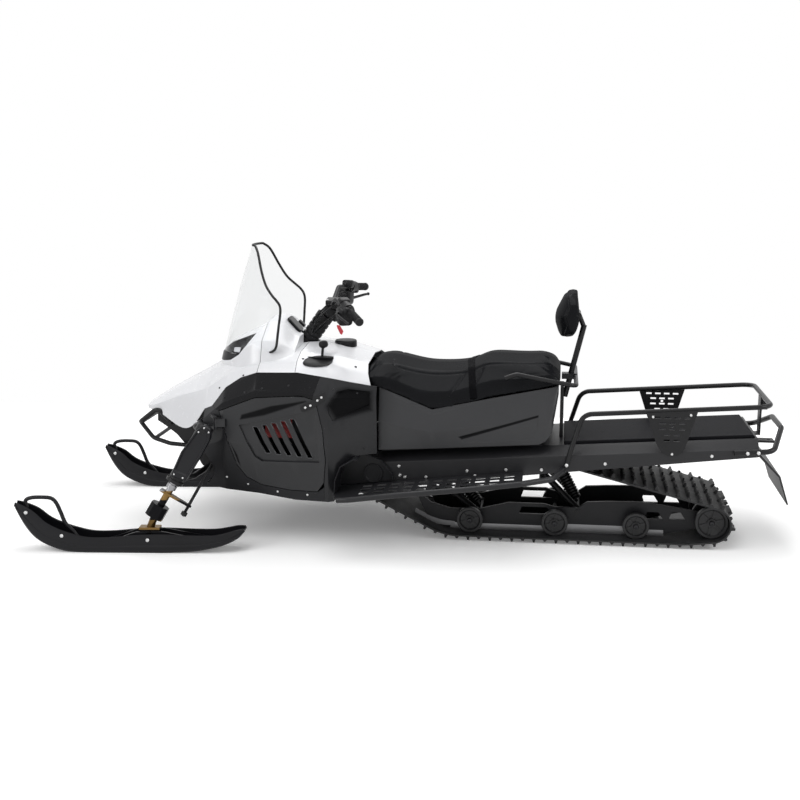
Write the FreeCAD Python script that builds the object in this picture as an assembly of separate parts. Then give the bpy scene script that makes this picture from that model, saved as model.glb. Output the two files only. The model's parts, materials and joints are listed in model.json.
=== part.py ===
import FreeCAD, Part
import math
import os

V = FreeCAD.Vector
os.makedirs("parts", exist_ok=True)

# Frame: +X to the rear, +Y to the rider's right, +Z up, floor at Z 0, millimetres.

# Clearances
SEAT_GAP = 0.3
RUN_GAP = 0.05
PANEL_GAP = 3.0
SEAM = 0.6
FOOT_GAP = 0.6
MOVING_GAP = 8.0
OPEN_END = 60.0

# Body shell
BODY_WALL = 4.0
RECESS_DEPTH = 12.0
SEAM_FRONT_X = -651.0
SEAM_REAR_X = -477.0
BODY_FRONT_X = -912.0
BODY_REAR_X = -116.0

# Tunnel and deck
TRACK_WIDTH = 500.0
TRACK_SIDE_GAP = 28.0
CHAMFER_RUN = 50.0
TUNNEL_HALF_WIDTH = TRACK_WIDTH / 2 + TRACK_SIDE_GAP
TUNNEL_DECK_HALF_WIDTH = TUNNEL_HALF_WIDTH - CHAMFER_RUN
TUNNEL_WALL = 3.0
TUNNEL_FRONT_X = -390.0
TUNNEL_REAR_X = 1560.0
DECK_Z_AT_ZERO = 414.0
DECK_RISE = 0.0665
CHAMFER_DROP = 40.0
SIDE_EDGE_Z_AT_ZERO = 264.0
SIDE_EDGE_RISE = 0.115

# Cargo deck, rack, bumper and hitch
DECK_THICKNESS = 14.0
DECK_BEVEL = 12.0
DECK_HALF_WIDTH = 218.0
RACK_Y = 268.0
RACK_RADIUS = 11.0
RACK_BEND = 60.0
PLATE_WALL = 4.0
GRAB_RADIUS = 10.0
BUMPER_RADIUS = 12.0
HITCH_PIN_RADIUS = 8.5
HITCH_PLATE = 6.0
HITCH_REACH = 84.0
DECK_FRONT_X = 718.0

# Running boards
BOARD_TUBE_RADIUS = 13.0
BOARD_FRONT_X = -296.0
BOARD_REAR_X = 540.0
BOARD_WALL = 3.0
BOARD_Z_AT_ZERO = 286.0
BOARD_RISE = 0.108

# Track and skid
LUG_PITCH = 50.5
LUG_HEIGHT = 20.0
LUG_BASE = 16.0
LUG_TIP = 8.0
BELT_THICKNESS = 7.0
BUMPER_HOOP_RADIUS = 12.0
SPROCKET_X = -183.0
SPROCKET_Z = 282.0
SPROCKET_RADIUS = 64.0
IDLER_X = 1384.0
IDLER_Z = 116.0
IDLER_RADIUS = 76.0
ROLLER_RADIUS = 60.0
ROLLER_XS = [296.0, 684.0, 1050.0]
ROLLER_WIDTH = 26.0
ROLLER_Y = 195.0
AXLE_RADIUS = 11.0
RAIL_Y = 140.0
RAIL_THICKNESS = 14.0
BEND_RADIUS = 300.0
TAIL_RADIUS = 420.0
CARRIER_X = 690.0
CARRIER_Z = 322.0
CARRIER_RADIUS = 50.0
SHOCK_ROD_RADIUS = 9.0
SHOCK_RADIUS = 22.0
SHOCK_EYE = 12.0
COIL_PITCH = 14.0
COIL_WIRE = 8.0
RUN_START_X = 250.0
RUN_END_X = 1250.0
FRONT_ARM_LOW = (336.0, 92.0)
FRONT_ARM_TOP = (130.0, 250.0)
REAR_ARM_LOW = (790.0, 128.0)
REAR_ARM_TOP = (620.0, 300.0)
FRONT_SHOCK_TOP = (206.0, 262.0)

# Skis and steering
SKI_STANCE = 1106.0
SKI_WIDTH = 118.0
SKI_PLATE = 12.0
SADDLE_X = -1110.0
SADDLE_Z = 80.0
KINGPIN_TOP = V(-869.0, 500.0, 535.0)
KINGPIN_LOW = V(-1059.0, 560.0, 201.0)
PARKED_SKI_ANGLE = 6.0
PARKED_BAR_ANGLE = 9.0
SHAFT_RADIUS = 16.0
STRUT_RADIUS = 33.0
KINGPIN_AXIS = (KINGPIN_TOP - KINGPIN_LOW).normalize()
ARM_AXIS = (V(1, 0, 0) - KINGPIN_AXIS * KINGPIN_AXIS.x).normalize()
SIDE_AXIS = KINGPIN_AXIS.cross(ARM_AXIS)
STRUT_LOW_Z = 312.0
STRUT_HIGH_Z = 562.0
STRUT_BORE_DEPTH = 60.0
STRUT_LOW_COLLAR = 7.0
STRUT_TOP_COLLAR = 5.0
STEERING_ARM_Z = 262.0
STEERING_ARM_REACH = 108.0
STUD_RADIUS = 6.0
STUD_DROP = 42.0
EYE_HALF = 8.0
TIE_ROD_INNER = V(-872.0, 215.0, 392.0)
SKI_RIB_Y = 24.0
SKI_RIB_WALL = 8.0
SKI_BOLT_RADIUS = 8.0

# Steering column
COLUMN_LOW = V(-494.0, 0.0, 879.0)
COLUMN_TOP = V(-372.0, 0.0, 1048.0)
COLUMN_AXIS = (COLUMN_TOP - COLUMN_LOW).normalize()
COLUMN_RADIUS = 15.0
BOOT_RADIUS = 42.0
BAR_RADIUS = 11.0
BAR_HALF_SPAN = 395.0
GRIP_RADIUS = 16.5
GRIP_LENGTH = 120.0

# Screen, instrument, filler cap and engine block
SCREEN_WALL = 3.0
GAUGE_RADIUS = 42.0
GAUGE_RISE = 40.0
GAUGE_TOP = V(-547.0, 0.0, 974.0)
GAUGE_AXIS = V(0.61, 0.0, 0.79).normalize()
CAP_RADIUS = 52.0
CAP_TOP_Z = 886.0
CAP_ROUND = 9.0
ENGINE_FRONT_X = -800.0
ENGINE_REAR_X = -395.0
ENGINE_TOP_Z = 600.0


def save(node, *solids):
    """Writes one node; like pieces share it as separate solids."""
    shape = solids[0] if len(solids) == 1 else Part.makeCompound(list(solids))
    shape.exportStep("parts/%s.step" % node)


def mirror(shape):
    return shape.mirror(V(0, 0, 0), V(0, 1, 0))


def both(shape):
    return [shape, mirror(shape)]


def fuse(shapes):
    first = shapes[0]
    return first.fuse(shapes[1:]).removeSplitter() if len(shapes) > 1 else first


def prism(outline, y_low, y_high):
    """A closed outline in X and Z, drawn along Y."""
    corners = [V(x, y_low, z) for x, z in outline]
    face = Part.Face(Part.makePolygon(corners + [corners[0]]))
    return face.extrude(V(0, y_high - y_low, 0))


def slab(outline, z_low, z_high):
    """A closed outline in X and Y, drawn along Z."""
    corners = [V(x, y, z_low) for x, y in outline]
    face = Part.Face(Part.makePolygon(corners + [corners[0]]))
    return face.extrude(V(0, 0, z_high - z_low))


def block(x_low, x_high, y_low, y_high, z_low, z_high):
    return Part.makeBox(x_high - x_low, y_high - y_low, z_high - z_low, V(x_low, y_low, z_low))


def rod(start, end, radius):
    return Part.makeCylinder(radius, (end - start).Length, start, end - start)


def cross_rod(x, z, radius, y_low, y_high):
    return Part.makeCylinder(radius, y_high - y_low, V(x, y_low, z), V(0, 1, 0))


def path(points, bend):
    """Straight runs joined by arcs that touch both runs."""
    edges = []
    last = points[0]
    for before, corner, after in zip(points, points[1:], points[2:]):
        towards = (before - corner).normalize()
        away = (after - corner).normalize()
        half = towards.getAngle(away) / 2
        back = bend / math.tan(half)
        arc_start = corner + towards * back
        arc_end = corner + away * back
        bisector = (towards + away).normalize()
        middle = corner + bisector * (bend / math.sin(half) - bend)
        edges.append(Part.LineSegment(last, arc_start).toShape())
        edges.append(Part.Arc(arc_start, middle, arc_end).toShape())
        last = arc_end
    edges.append(Part.LineSegment(last, points[-1]).toShape())
    return Part.Wire(edges)


def tube(points, bend, radius):
    """A round bar bent along the points."""
    line = path(points, bend)
    start = points[0]
    circle = Part.Wire(Part.Circle(start, points[1] - start, radius).toShape())
    return line.makePipeShell([circle], True, False)


def inset(section, wall):
    """Moves each corner of a closed section inwards along its mitre by the wall."""
    area = 0.0
    for (a, b), (c, d) in zip(section, section[1:] + section[:1]):
        area += a * d - b * c
    side = 1.0 if area > 0 else -1.0
    moved = []
    count = len(section)
    for i in range(count):
        ax, ay = section[i - 1]
        bx, by = section[i]
        cx, cy = section[(i + 1) % count]
        first = V(bx - ax, by - ay, 0).normalize()
        second = V(cx - bx, cy - by, 0).normalize()
        inward_first = V(-first.y, first.x, 0) * side
        inward_second = V(-second.y, second.x, 0) * side
        mitre = inward_first + inward_second
        step = mitre * (wall * 2.0 / (mitre.x ** 2 + mitre.y ** 2)) if mitre.Length > 0.01 else inward_first * wall
        moved.append((bx + step.x, by + step.y))
    return moved


def whole_ring(half):
    """Completes a half section, given from the top centre down to the bottom centre."""
    left = [(-y, z) for y, z in reversed(half) if y > 0]
    return list(half) + left


def loft(stations, wall=0.0, ruled=False):
    """Closed sections across X, joined into one solid; a wall moves every side inwards."""
    rings = []
    for x, half in stations:
        ring = whole_ring(half)
        if wall:
            ring = inset(ring, wall)
        corners = [V(x, y, z) for y, z in ring]
        rings.append(Part.makePolygon(corners + [corners[0]]))
    return Part.makeLoft(rings, True, ruled)


# Body sections: half outlines from the top centre down to the belly centre.
NOSE_STATIONS = [
    (-1258.0, [(0, 578), (50, 575), (84, 566), (92, 552), (0, 549)]),
    (-1225.0, [(0, 598), (80, 588), (122, 572), (132, 552), (0, 546)]),
    (-1146.0, [(0, 648), (112, 636), (172, 604), (192, 536), (0, 522)]),
    (-1004.0, [(0, 724), (126, 706), (228, 656), (278, 502), (0, 496)]),
    (BODY_FRONT_X, [(0, 776), (130, 756), (262, 690), (318, 604), (0, 590)]),
    (BODY_FRONT_X + OPEN_END, [(0, 798), (160, 776), (278, 726), (334, 650), (0, 640)]),
]

BODY_STATIONS = [
    (BODY_FRONT_X, [(0, 776), (130, 756), (262, 690), (318, 604), (352, 560), (372, 440), (322, 246), (0, 238)]),
    (-801.0, [(0, 822), (196, 800), (296, 765), (350, 711), (406, 652), (428, 480), (360, 238), (0, 231)]),
    (-651.0, [(0, 852), (240, 838), (324, 815), (370, 785), (415, 712), (441, 480), (385, 232), (0, 228)]),
    (-477.0, [(0, 884), (240, 862), (326, 833), (372, 789), (420, 708), (444, 480), (405, 212), (0, 208)]),
    (-322.0, [(0, 872), (228, 848), (318, 814), (362, 766), (424, 690), (442, 480), (424, 212), (0, 208)]),
    (BODY_REAR_X, [(0, 812), (200, 795), (285, 768), (330, 727), (350, 680), (335, 480), (330, 222), (0, 208)]),
    (BODY_REAR_X + OPEN_END,
     [(0, 790), (190, 776), (272, 752), (318, 718), (330, 672), (318, 480), (310, 226), (0, 214)]),
]

# Side outlines in X and Z
WHITE_EDGE = [
    (-960.0, 560.0), (-936.0, 592.0), (-869.0, 623.0), (-801.0, 711.0), (-732.0, 756.0), (-651.0, 785.0),
    (-468.0, 789.0), (-322.0, 766.0), (-233.0, 748.0), (-129.0, 729.0), (-60.0, 717.0),
]
SHOULDER = [
    (-869.0, 623.0), (-801.0, 711.0), (-732.0, 756.0), (-651.0, 785.0), (-468.0, 789.0), (-365.0, 773.0),
    (-390.0, 680.0), (-443.0, 695.0), (-652.0, 680.0), (-719.0, 654.0), (-825.0, 612.0),
]
DOOR = [
    (-825.0, 612.0), (-719.0, 654.0), (-652.0, 680.0), (-443.0, 695.0), (-390.0, 680.0), (-368.0, 647.0),
    (-342.0, 544.0), (-330.0, 408.0), (-340.0, 300.0), (-371.0, 256.0), (-499.0, 256.0), (-636.0, 274.0),
    (-705.0, 309.0), (-745.0, 364.0), (-779.0, 483.0),
]
DOOR_RECESS = [(-730.0, 558.0), (-372.0, 640.0), (-355.0, 391.0), (-625.0, 386.0), (-660.0, 410.0)]
LOUVRE_TOP_START = (-662.0, 546.0)
LOUVRE_TOP_STEP = (42.0, 10.0)
LOUVRE_LOW_START = (-604.0, 430.0)
LOUVRE_LOW_STEP = (48.0, -4.0)
LOUVRE_COUNT = 5
LOUVRE_WIDTH = 20.0
FOOT_ARCH = [(-205.0, 418.0), (-269.0, 380.0), (-293.0, 315.0), (-300.0, 180.0)]
KNEE = [
    (-365.0, 773.0), (-322.0, 766.0), (-233.0, 748.0), (-129.0, 729.0), (-60.0, 717.0), (-60.0, 422.0),
] + FOOT_ARCH + [
    (-340.0, 180.0), (-340.0, 300.0), (-330.0, 408.0), (-342.0, 544.0), (-368.0, 647.0), (-390.0, 680.0),
]
BELLY = [
    (-960.0, 180.0), (-960.0, 592.0), (-936.0, 592.0), (-869.0, 623.0), (-825.0, 612.0), (-779.0, 483.0),
    (-745.0, 364.0), (-705.0, 309.0), (-636.0, 274.0), (-499.0, 256.0), (-371.0, 256.0), (-340.0, 280.0),
    (-340.0, 180.0),
]
KNEE_RECESS = [
    (-289.0, 713.0), (-238.0, 724.0), (-140.0, 710.0), (-140.0, 645.0), (-302.0, 580.0), (-320.0, 615.0),
    (-325.0, 645.0),
]
TIE_ROD_WINDOW = [
    (-960.0, 258.0), (-960.0, 404.0), (-900.0, 404.0), (-866.0, 345.0), (-866.0, 300.0), (-900.0, 258.0),
]

UPPER_COWL_STATIONS = [
    (-888.0, [(0, 834), (66, 830), (96, 800), (96, 770), (0, 770)]),
    (-851.0, [(0, 872), (110, 862), (160, 806), (165, 760), (0, 760)]),
    (-776.0, [(0, 916), (150, 902), (232, 842), (262, 780), (0, 770)]),
    (-698.0, [(0, 958), (158, 940), (262, 900), (306, 790), (0, 780)]),
    (-615.0, [(0, 1002), (140, 985), (262, 910), (312, 810), (0, 800)]),
    (-560.0, [(0, 962), (134, 953), (246, 893), (301, 819), (0, 810)]),
    (-505.0, [(0, 918), (130, 915), (230, 870), (290, 826), (0, 820)]),
]
LAMP_OUTLINE = [
    (-895.0, 796.0), (-872.0, 796.0), (-816.0, 811.0), (-767.0, 842.0), (-732.0, 883.0), (-698.0, 934.0),
    (-776.0, 903.0), (-851.0, 872.0), (-895.0, 836.0),
]
BASE_WALL = 5.0
BASE_TAIL_X = 600.0
BASE_FOOT_HALF = TUNNEL_DECK_HALF_WIDTH - 8.0
SEAT_FRONT_LINE = [(-172.0, 1000.0), (-172.0, 806.0), (-140.0, 722.0), (-60.0, 700.0), (-60.0, 1000.0)]
FAR = 700.0
PANEL_INNER_Y = 60.0

# Door hinge
DOOR_HINGE_X = -832.0
DOOR_HINGE_Y = 432.0
DOOR_KNUCKLE_LOW = 545.0
DOOR_KNUCKLE_HIGH = 580.0
HINGE_PIN_RADIUS = 4.0
HINGE_WALL = 5.0
HINGE_EAR = 12.0
DOOR_HINGE_TAIL = (-788.0, 425.0)
BELLY_HINGE_TAIL = (-866.0, 372.0)


def build_shell():
    """The hollow body from the belly to the hood, with its recessed layers for the doors."""
    layers = {}
    for depth in (0.0, BODY_WALL, RECESS_DEPTH, RECESS_DEPTH + BODY_WALL):
        stations = list(BODY_STATIONS)
        stations[0] = (stations[0][0] + depth, stations[0][1])
        layers[depth] = loft(stations, depth, True)
    return layers


def build_white(shell):
    """The white bodywork in one piece, before its seams are cut: nose, hood, upper cowl and console."""
    nose = loft(NOSE_STATIONS)
    core_stations = list(NOSE_STATIONS)
    core_stations[0] = (core_stations[0][0] + BODY_WALL, core_stations[0][1])
    core = loft(core_stations, BODY_WALL)
    nose = nose.cut(core).cut(core.translated(V(0, 0, -2 * BODY_WALL)))
    behind = block(BODY_FRONT_X, 0, -FAR, FAR, 300, 1200)
    nose = nose.cut(behind)
    over = prism([(-936.0, 1100.0), (-936.0, 592.0)] + WHITE_EDGE + [(-60.0, 1100.0)], -FAR, FAR)
    hood = shell.common(over).cut(prism(SEAT_FRONT_LINE, -FAR, FAR))
    return nose, hood


def build_upper_cowl():
    """The raised cowl behind the lamps: outer form and its hollow."""
    outer = loft(UPPER_COWL_STATIONS)
    stations = list(UPPER_COWL_STATIONS)
    stations[0] = (stations[0][0] + BODY_WALL, stations[0][1])
    stations[-1] = (stations[-1][0] - BODY_WALL, stations[-1][1])
    core = loft(stations, BODY_WALL)
    return outer, core.fuse(core.translated(V(0, 0, -6 * BODY_WALL)))


def cut_panel(body, outline, gap):
    """The right half of the body inside an outline, less a gap to its neighbours."""
    return body.common(prism(inset(outline, gap), PANEL_INNER_Y, FAR))


def with_recess(layers, plain, outline):
    """A right side panel with a sunk field: the field's floor and the walls round it."""
    floor = layers[RECESS_DEPTH].cut(layers[RECESS_DEPTH + BODY_WALL])
    rim = layers[0.0].cut(layers[RECESS_DEPTH + BODY_WALL])
    field = prism(outline, PANEL_INNER_Y, FAR)
    sunk = prism(inset(outline, BODY_WALL), PANEL_INNER_Y, FAR)
    return fuse([plain.cut(field), rim.common(field.cut(sunk)), floor.common(sunk)])


def build_door(layers, shell):
    """The engine door: a panel with a sunk field and a row of slanted louvres."""
    door = with_recess(layers, cut_panel(shell, DOOR, PANEL_GAP), DOOR_RECESS)
    for i in range(LOUVRE_COUNT):
        top_x = LOUVRE_TOP_START[0] + i * LOUVRE_TOP_STEP[0]
        top_z = LOUVRE_TOP_START[1] + i * LOUVRE_TOP_STEP[1]
        low_x = LOUVRE_LOW_START[0] + i * LOUVRE_LOW_STEP[0]
        low_z = LOUVRE_LOW_START[1] + i * LOUVRE_LOW_STEP[1]
        slot = [(top_x, top_z), (top_x + LOUVRE_WIDTH, top_z), (low_x + LOUVRE_WIDTH, low_z), (low_x, low_z)]
        door = door.cut(prism(slot, PANEL_INNER_Y, FAR))
    return door


def hinge_arm(z_low, z_high, tail):
    """A knuckle round the right door's hinge axis with a flat arm to the panel."""
    radius = HINGE_PIN_RADIUS + HINGE_WALL
    along = V(tail[0] - DOOR_HINGE_X, tail[1] - DOOR_HINGE_Y, 0).normalize()
    across = V(-along.y, along.x, 0) * (radius - 2)
    hinge = V(DOOR_HINGE_X, DOOR_HINGE_Y, 0)
    end = V(tail[0], tail[1], 0)
    corners = [hinge + across, end + across, end - across, hinge - across]
    arm = slab([(corner.x, corner.y) for corner in corners], z_low, z_high)
    knuckle = Part.makeCylinder(radius, z_high - z_low, V(DOOR_HINGE_X, DOOR_HINGE_Y, z_low))
    return fuse([knuckle, arm])


def bumper_hoop(radius):
    """The front bumper's main bar, whose ends come out from under the nose."""
    return tube([V(-1130, -172, 512), V(-1186, -172, 566), V(-1282, -150, 492), V(-1282, 150, 492),
                 V(-1186, 172, 566), V(-1130, 172, 512)], 30, radius)


def build_bodywork():
    layers = build_shell()
    shell = layers[0.0].cut(layers[BODY_WALL])
    shell = shell.cut(block(BODY_REAR_X, 0, -FAR, FAR, 0, 1200))
    nose, hood = build_white(shell)
    cowl_outer, cowl_core = build_upper_cowl()
    cowl = cowl_outer.cut(cowl_core).cut(layers[0.0])
    band = prism(LAMP_OUTLINE, -FAR, FAR)
    headlamp = cowl.common(band)
    cowl = cowl.cut(band)
    column_hole = rod(COLUMN_LOW - COLUMN_AXIS * 24, COLUMN_TOP, BOOT_RADIUS + MOVING_GAP)
    white = fuse([nose, hood.cut(cowl_core)] + cowl.Solids).cut(column_hole)
    white = white.cut(bumper_hoop(BUMPER_HOOP_RADIUS + SEAT_GAP))
    white = max(white.Solids, key=lambda solid: solid.Volume)
    front = block(-1400, SEAM_FRONT_X - SEAM / 2, -FAR, FAR, 0, 1400)
    middle = block(SEAM_FRONT_X + SEAM / 2, SEAM_REAR_X - SEAM / 2, -FAR, FAR, 0, 1400)
    rear = block(SEAM_REAR_X + SEAM / 2, 0, -FAR, FAR, 0, 1400)
    save("nose_cowl", white.common(front))
    save("mid_cowl", white.common(middle))
    save("console", white.common(rear))
    save("headlamp", headlamp)
    shoulder = cut_panel(shell, SHOULDER, SEAT_GAP)
    save("shoulder_trims", *both(shoulder))
    track_space = block(-330, 0, -TUNNEL_HALF_WIDTH - SEAT_GAP, TUNNEL_HALF_WIDTH + SEAT_GAP, 150, 700)
    knee = with_recess(layers, cut_panel(shell, KNEE, SEAT_GAP), KNEE_RECESS).cut(track_space)
    save("knee_panels", *both(knee))
    door = build_door(layers, shell)
    door = door.cut(hinge_arm(DOOR_KNUCKLE_LOW, DOOR_KNUCKLE_HIGH, DOOR_HINGE_TAIL))
    knuckle = hinge_arm(DOOR_KNUCKLE_LOW, DOOR_KNUCKLE_HIGH, DOOR_HINGE_TAIL)
    knuckle = knuckle.cut(layers[BODY_WALL])
    door = fuse([door, knuckle])
    pin_low = DOOR_KNUCKLE_LOW - HINGE_EAR - RUN_GAP
    pin_high = DOOR_KNUCKLE_HIGH + HINGE_EAR + RUN_GAP
    pin_foot = V(DOOR_HINGE_X, DOOR_HINGE_Y, pin_low)
    door = door.cut(Part.makeCylinder(HINGE_PIN_RADIUS + RUN_GAP, pin_high - pin_low, pin_foot))
    door = max(door.Solids, key=lambda solid: solid.Volume)
    save("left_door", mirror(door))
    save("right_door", door)
    belly = shell.common(prism(inset(BELLY, SEAT_GAP), -FAR, FAR))
    for side in (-1, 1):
        low, high = sorted((side * 180.0, side * FAR))
        belly = belly.cut(prism(TIE_ROD_WINDOW, low, high))
    hinge = [Part.makeCylinder(HINGE_PIN_RADIUS, pin_high - pin_low, pin_foot)]
    hinge.append(hinge_arm(pin_low, pin_low + HINGE_EAR, BELLY_HINGE_TAIL).cut(layers[BODY_WALL]))
    hinge.append(hinge_arm(pin_high - HINGE_EAR, pin_high, BELLY_HINGE_TAIL).cut(layers[BODY_WALL]))
    hinge = fuse(hinge)
    save("belly_pan", fuse([belly] + both(hinge)))
    return layers, cowl_outer


def deck_z(x):
    return DECK_Z_AT_ZERO + DECK_RISE * x


def side_edge_z(x):
    return SIDE_EDGE_Z_AT_ZERO + SIDE_EDGE_RISE * x


def tunnel_section(x, wall):
    """Half of the inverted channel: deck, chamfer and side."""
    top = deck_z(x) - wall
    half_deck = TUNNEL_DECK_HALF_WIDTH - wall * 0.7
    half = TUNNEL_HALF_WIDTH - wall
    low = side_edge_z(x) - (50.0 if wall else 0.0)
    return [(0, top), (half_deck, top), (half, top - CHAMFER_DROP), (half, low), (0, low)]


def build_tunnel():
    outer = loft([(x, tunnel_section(x, 0)) for x in (TUNNEL_FRONT_X, TUNNEL_REAR_X)], 0, True)
    ends = (TUNNEL_FRONT_X + TUNNEL_WALL, TUNNEL_REAR_X + 5)
    inner = loft([(x, tunnel_section(x, TUNNEL_WALL)) for x in ends], 0, True)
    save("tunnel", outer.cut(inner))
    return outer


def belt_arcs():
    """Belt centre line as arcs about the sprocket, the front bend, the tail bend and the idler."""
    half = BELT_THICKNESS / 2
    low = LUG_HEIGHT + half
    circles = [
        (SPROCKET_X, SPROCKET_Z, SPROCKET_RADIUS + half),
        (RUN_START_X, low + BEND_RADIUS, BEND_RADIUS),
        (RUN_END_X, low + TAIL_RADIUS, TAIL_RADIUS),
        (IDLER_X, IDLER_Z, IDLER_RADIUS + half),
        (CARRIER_X, CARRIER_Z, CARRIER_RADIUS + half),
    ]
    normals = []
    for (ax, az, ar), (bx, bz, br) in zip(circles, circles[1:] + circles[:1]):
        heading = math.atan2(bz - az, bx - ax)
        normals.append(heading - math.acos((ar - br) / math.hypot(bx - ax, bz - az)))
    arcs = []
    for i, (cx, cz, radius) in enumerate(circles):
        turn = (normals[i] - normals[i - 1]) % (2 * math.pi)
        arcs.append((cx, cz, radius, normals[i - 1], turn))
    return arcs


def belt_path():
    """Runs of the belt: each has a length and a function from distance to point and outward normal."""
    arcs = belt_arcs()
    runs = []
    for i, (cx, cz, radius, start, turn) in enumerate(arcs):
        nx, nz, nr, n_start, _ = arcs[(i + 1) % len(arcs)]
        runs.append(("arc", radius * turn, (cx, cz, radius, start)))
        end = start + turn
        ax, az = cx + radius * math.cos(end), cz + radius * math.sin(end)
        bx, bz = nx + nr * math.cos(n_start), nz + nr * math.sin(n_start)
        runs.append(("line", math.hypot(bx - ax, bz - az), (ax, az, bx, bz, end)))
    return runs


def belt_point(runs, distance, offset):
    """The point at a distance along the belt, moved outwards by the offset."""
    total = sum(run[1] for run in runs)
    distance = distance % total
    for kind, length, data in runs:
        if distance <= length:
            break
        distance -= length
    if kind == "arc":
        cx, cz, radius, start = data
        angle = start + distance / radius
        reach = radius + offset
        return (cx + reach * math.cos(angle), cz + reach * math.sin(angle))
    ax, az, bx, bz, angle = data
    share = distance / length
    x = ax + (bx - ax) * share + offset * math.cos(angle)
    z = az + (bz - az) * share + offset * math.sin(angle)
    return (x, z)


def build_track():
    """One endless belt with a lug across it at every pitch."""
    runs = belt_path()
    total = sum(run[1] for run in runs)
    count = round(total / LUG_PITCH)
    step = total / count
    half = BELT_THICKNESS / 2
    outside = []
    inside = []
    for i in range(count):
        middle = (i + 0.5) * step
        outside.append(belt_point(runs, middle - LUG_BASE / 2, half))
        outside.append(belt_point(runs, middle - LUG_TIP / 2, half + LUG_HEIGHT))
        outside.append(belt_point(runs, middle + LUG_TIP / 2, half + LUG_HEIGHT))
        outside.append(belt_point(runs, middle + LUG_BASE / 2, half))
        inside.append(belt_point(runs, middle, -half))
        inside.append(belt_point(runs, middle + step / 2, -half))
    belt = prism(outside, -TRACK_WIDTH / 2, TRACK_WIDTH / 2)
    return belt.cut(prism(inside, -TRACK_WIDTH / 2 - 1, TRACK_WIDTH / 2 + 1)), inside


def wheel(x, z, y, radius, width):
    """A rubber-tyred wheel with a dished disc and a hub."""
    profile = [
        (AXLE_RADIUS + RUN_GAP, -width * 0.62), (AXLE_RADIUS + 9, -width * 0.62), (AXLE_RADIUS + 9, -4),
        (radius - 18, -4), (radius - 12, -width / 2), (radius - 2, -width / 2), (radius, -width / 2 + 2),
        (radius, width / 2 - 2), (radius - 2, width / 2), (radius - 12, width / 2), (radius - 18, 4),
        (AXLE_RADIUS + 9, 4), (AXLE_RADIUS + 9, width * 0.62), (AXLE_RADIUS + RUN_GAP, width * 0.62),
    ]
    corners = [V(x + r, y + w, z) for r, w in profile]
    face = Part.Face(Part.makePolygon(corners + [corners[0]]))
    return face.revolve(V(x, y, z), V(0, 1, 0), 360)


def coil_shock(foot, head):
    """A damper with its coil spring, turned about its own axis: flat topped beads on a tube."""
    length = (head - foot).Length
    coils = int((length - 2 * SHOCK_EYE) // COIL_PITCH)
    start = (length - coils * COIL_PITCH) / 2
    corners = [V(0, 0, 0), V(SHOCK_ROD_RADIUS, 0, 0), V(SHOCK_ROD_RADIUS, 0, start), V(SHOCK_RADIUS, 0, start)]
    edges = [Part.LineSegment(a, b).toShape() for a, b in zip(corners, corners[1:])]
    for i in range(coils):
        low = start + i * COIL_PITCH
        bead = [V(SHOCK_RADIUS, 0, low), V(SHOCK_RADIUS + COIL_WIRE, 0, low + COIL_PITCH * 0.3),
                V(SHOCK_RADIUS + COIL_WIRE, 0, low + COIL_PITCH * 0.7), V(SHOCK_RADIUS, 0, low + COIL_PITCH)]
        edges += [Part.LineSegment(a, b).toShape() for a, b in zip(bead, bead[1:])]
    top = start + coils * COIL_PITCH
    corners = [V(SHOCK_RADIUS, 0, top), V(SHOCK_ROD_RADIUS, 0, top), V(SHOCK_ROD_RADIUS, 0, length),
               V(0, 0, length), V(0, 0, 0)]
    edges += [Part.LineSegment(a, b).toShape() for a, b in zip(corners, corners[1:])]
    shock = Part.Face(Part.Wire(edges)).revolve(V(0, 0, 0), V(0, 0, 1), 360)
    shock.Placement = FreeCAD.Placement(foot, FreeCAD.Rotation(V(0, 0, 1), head - foot))
    return shock


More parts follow.
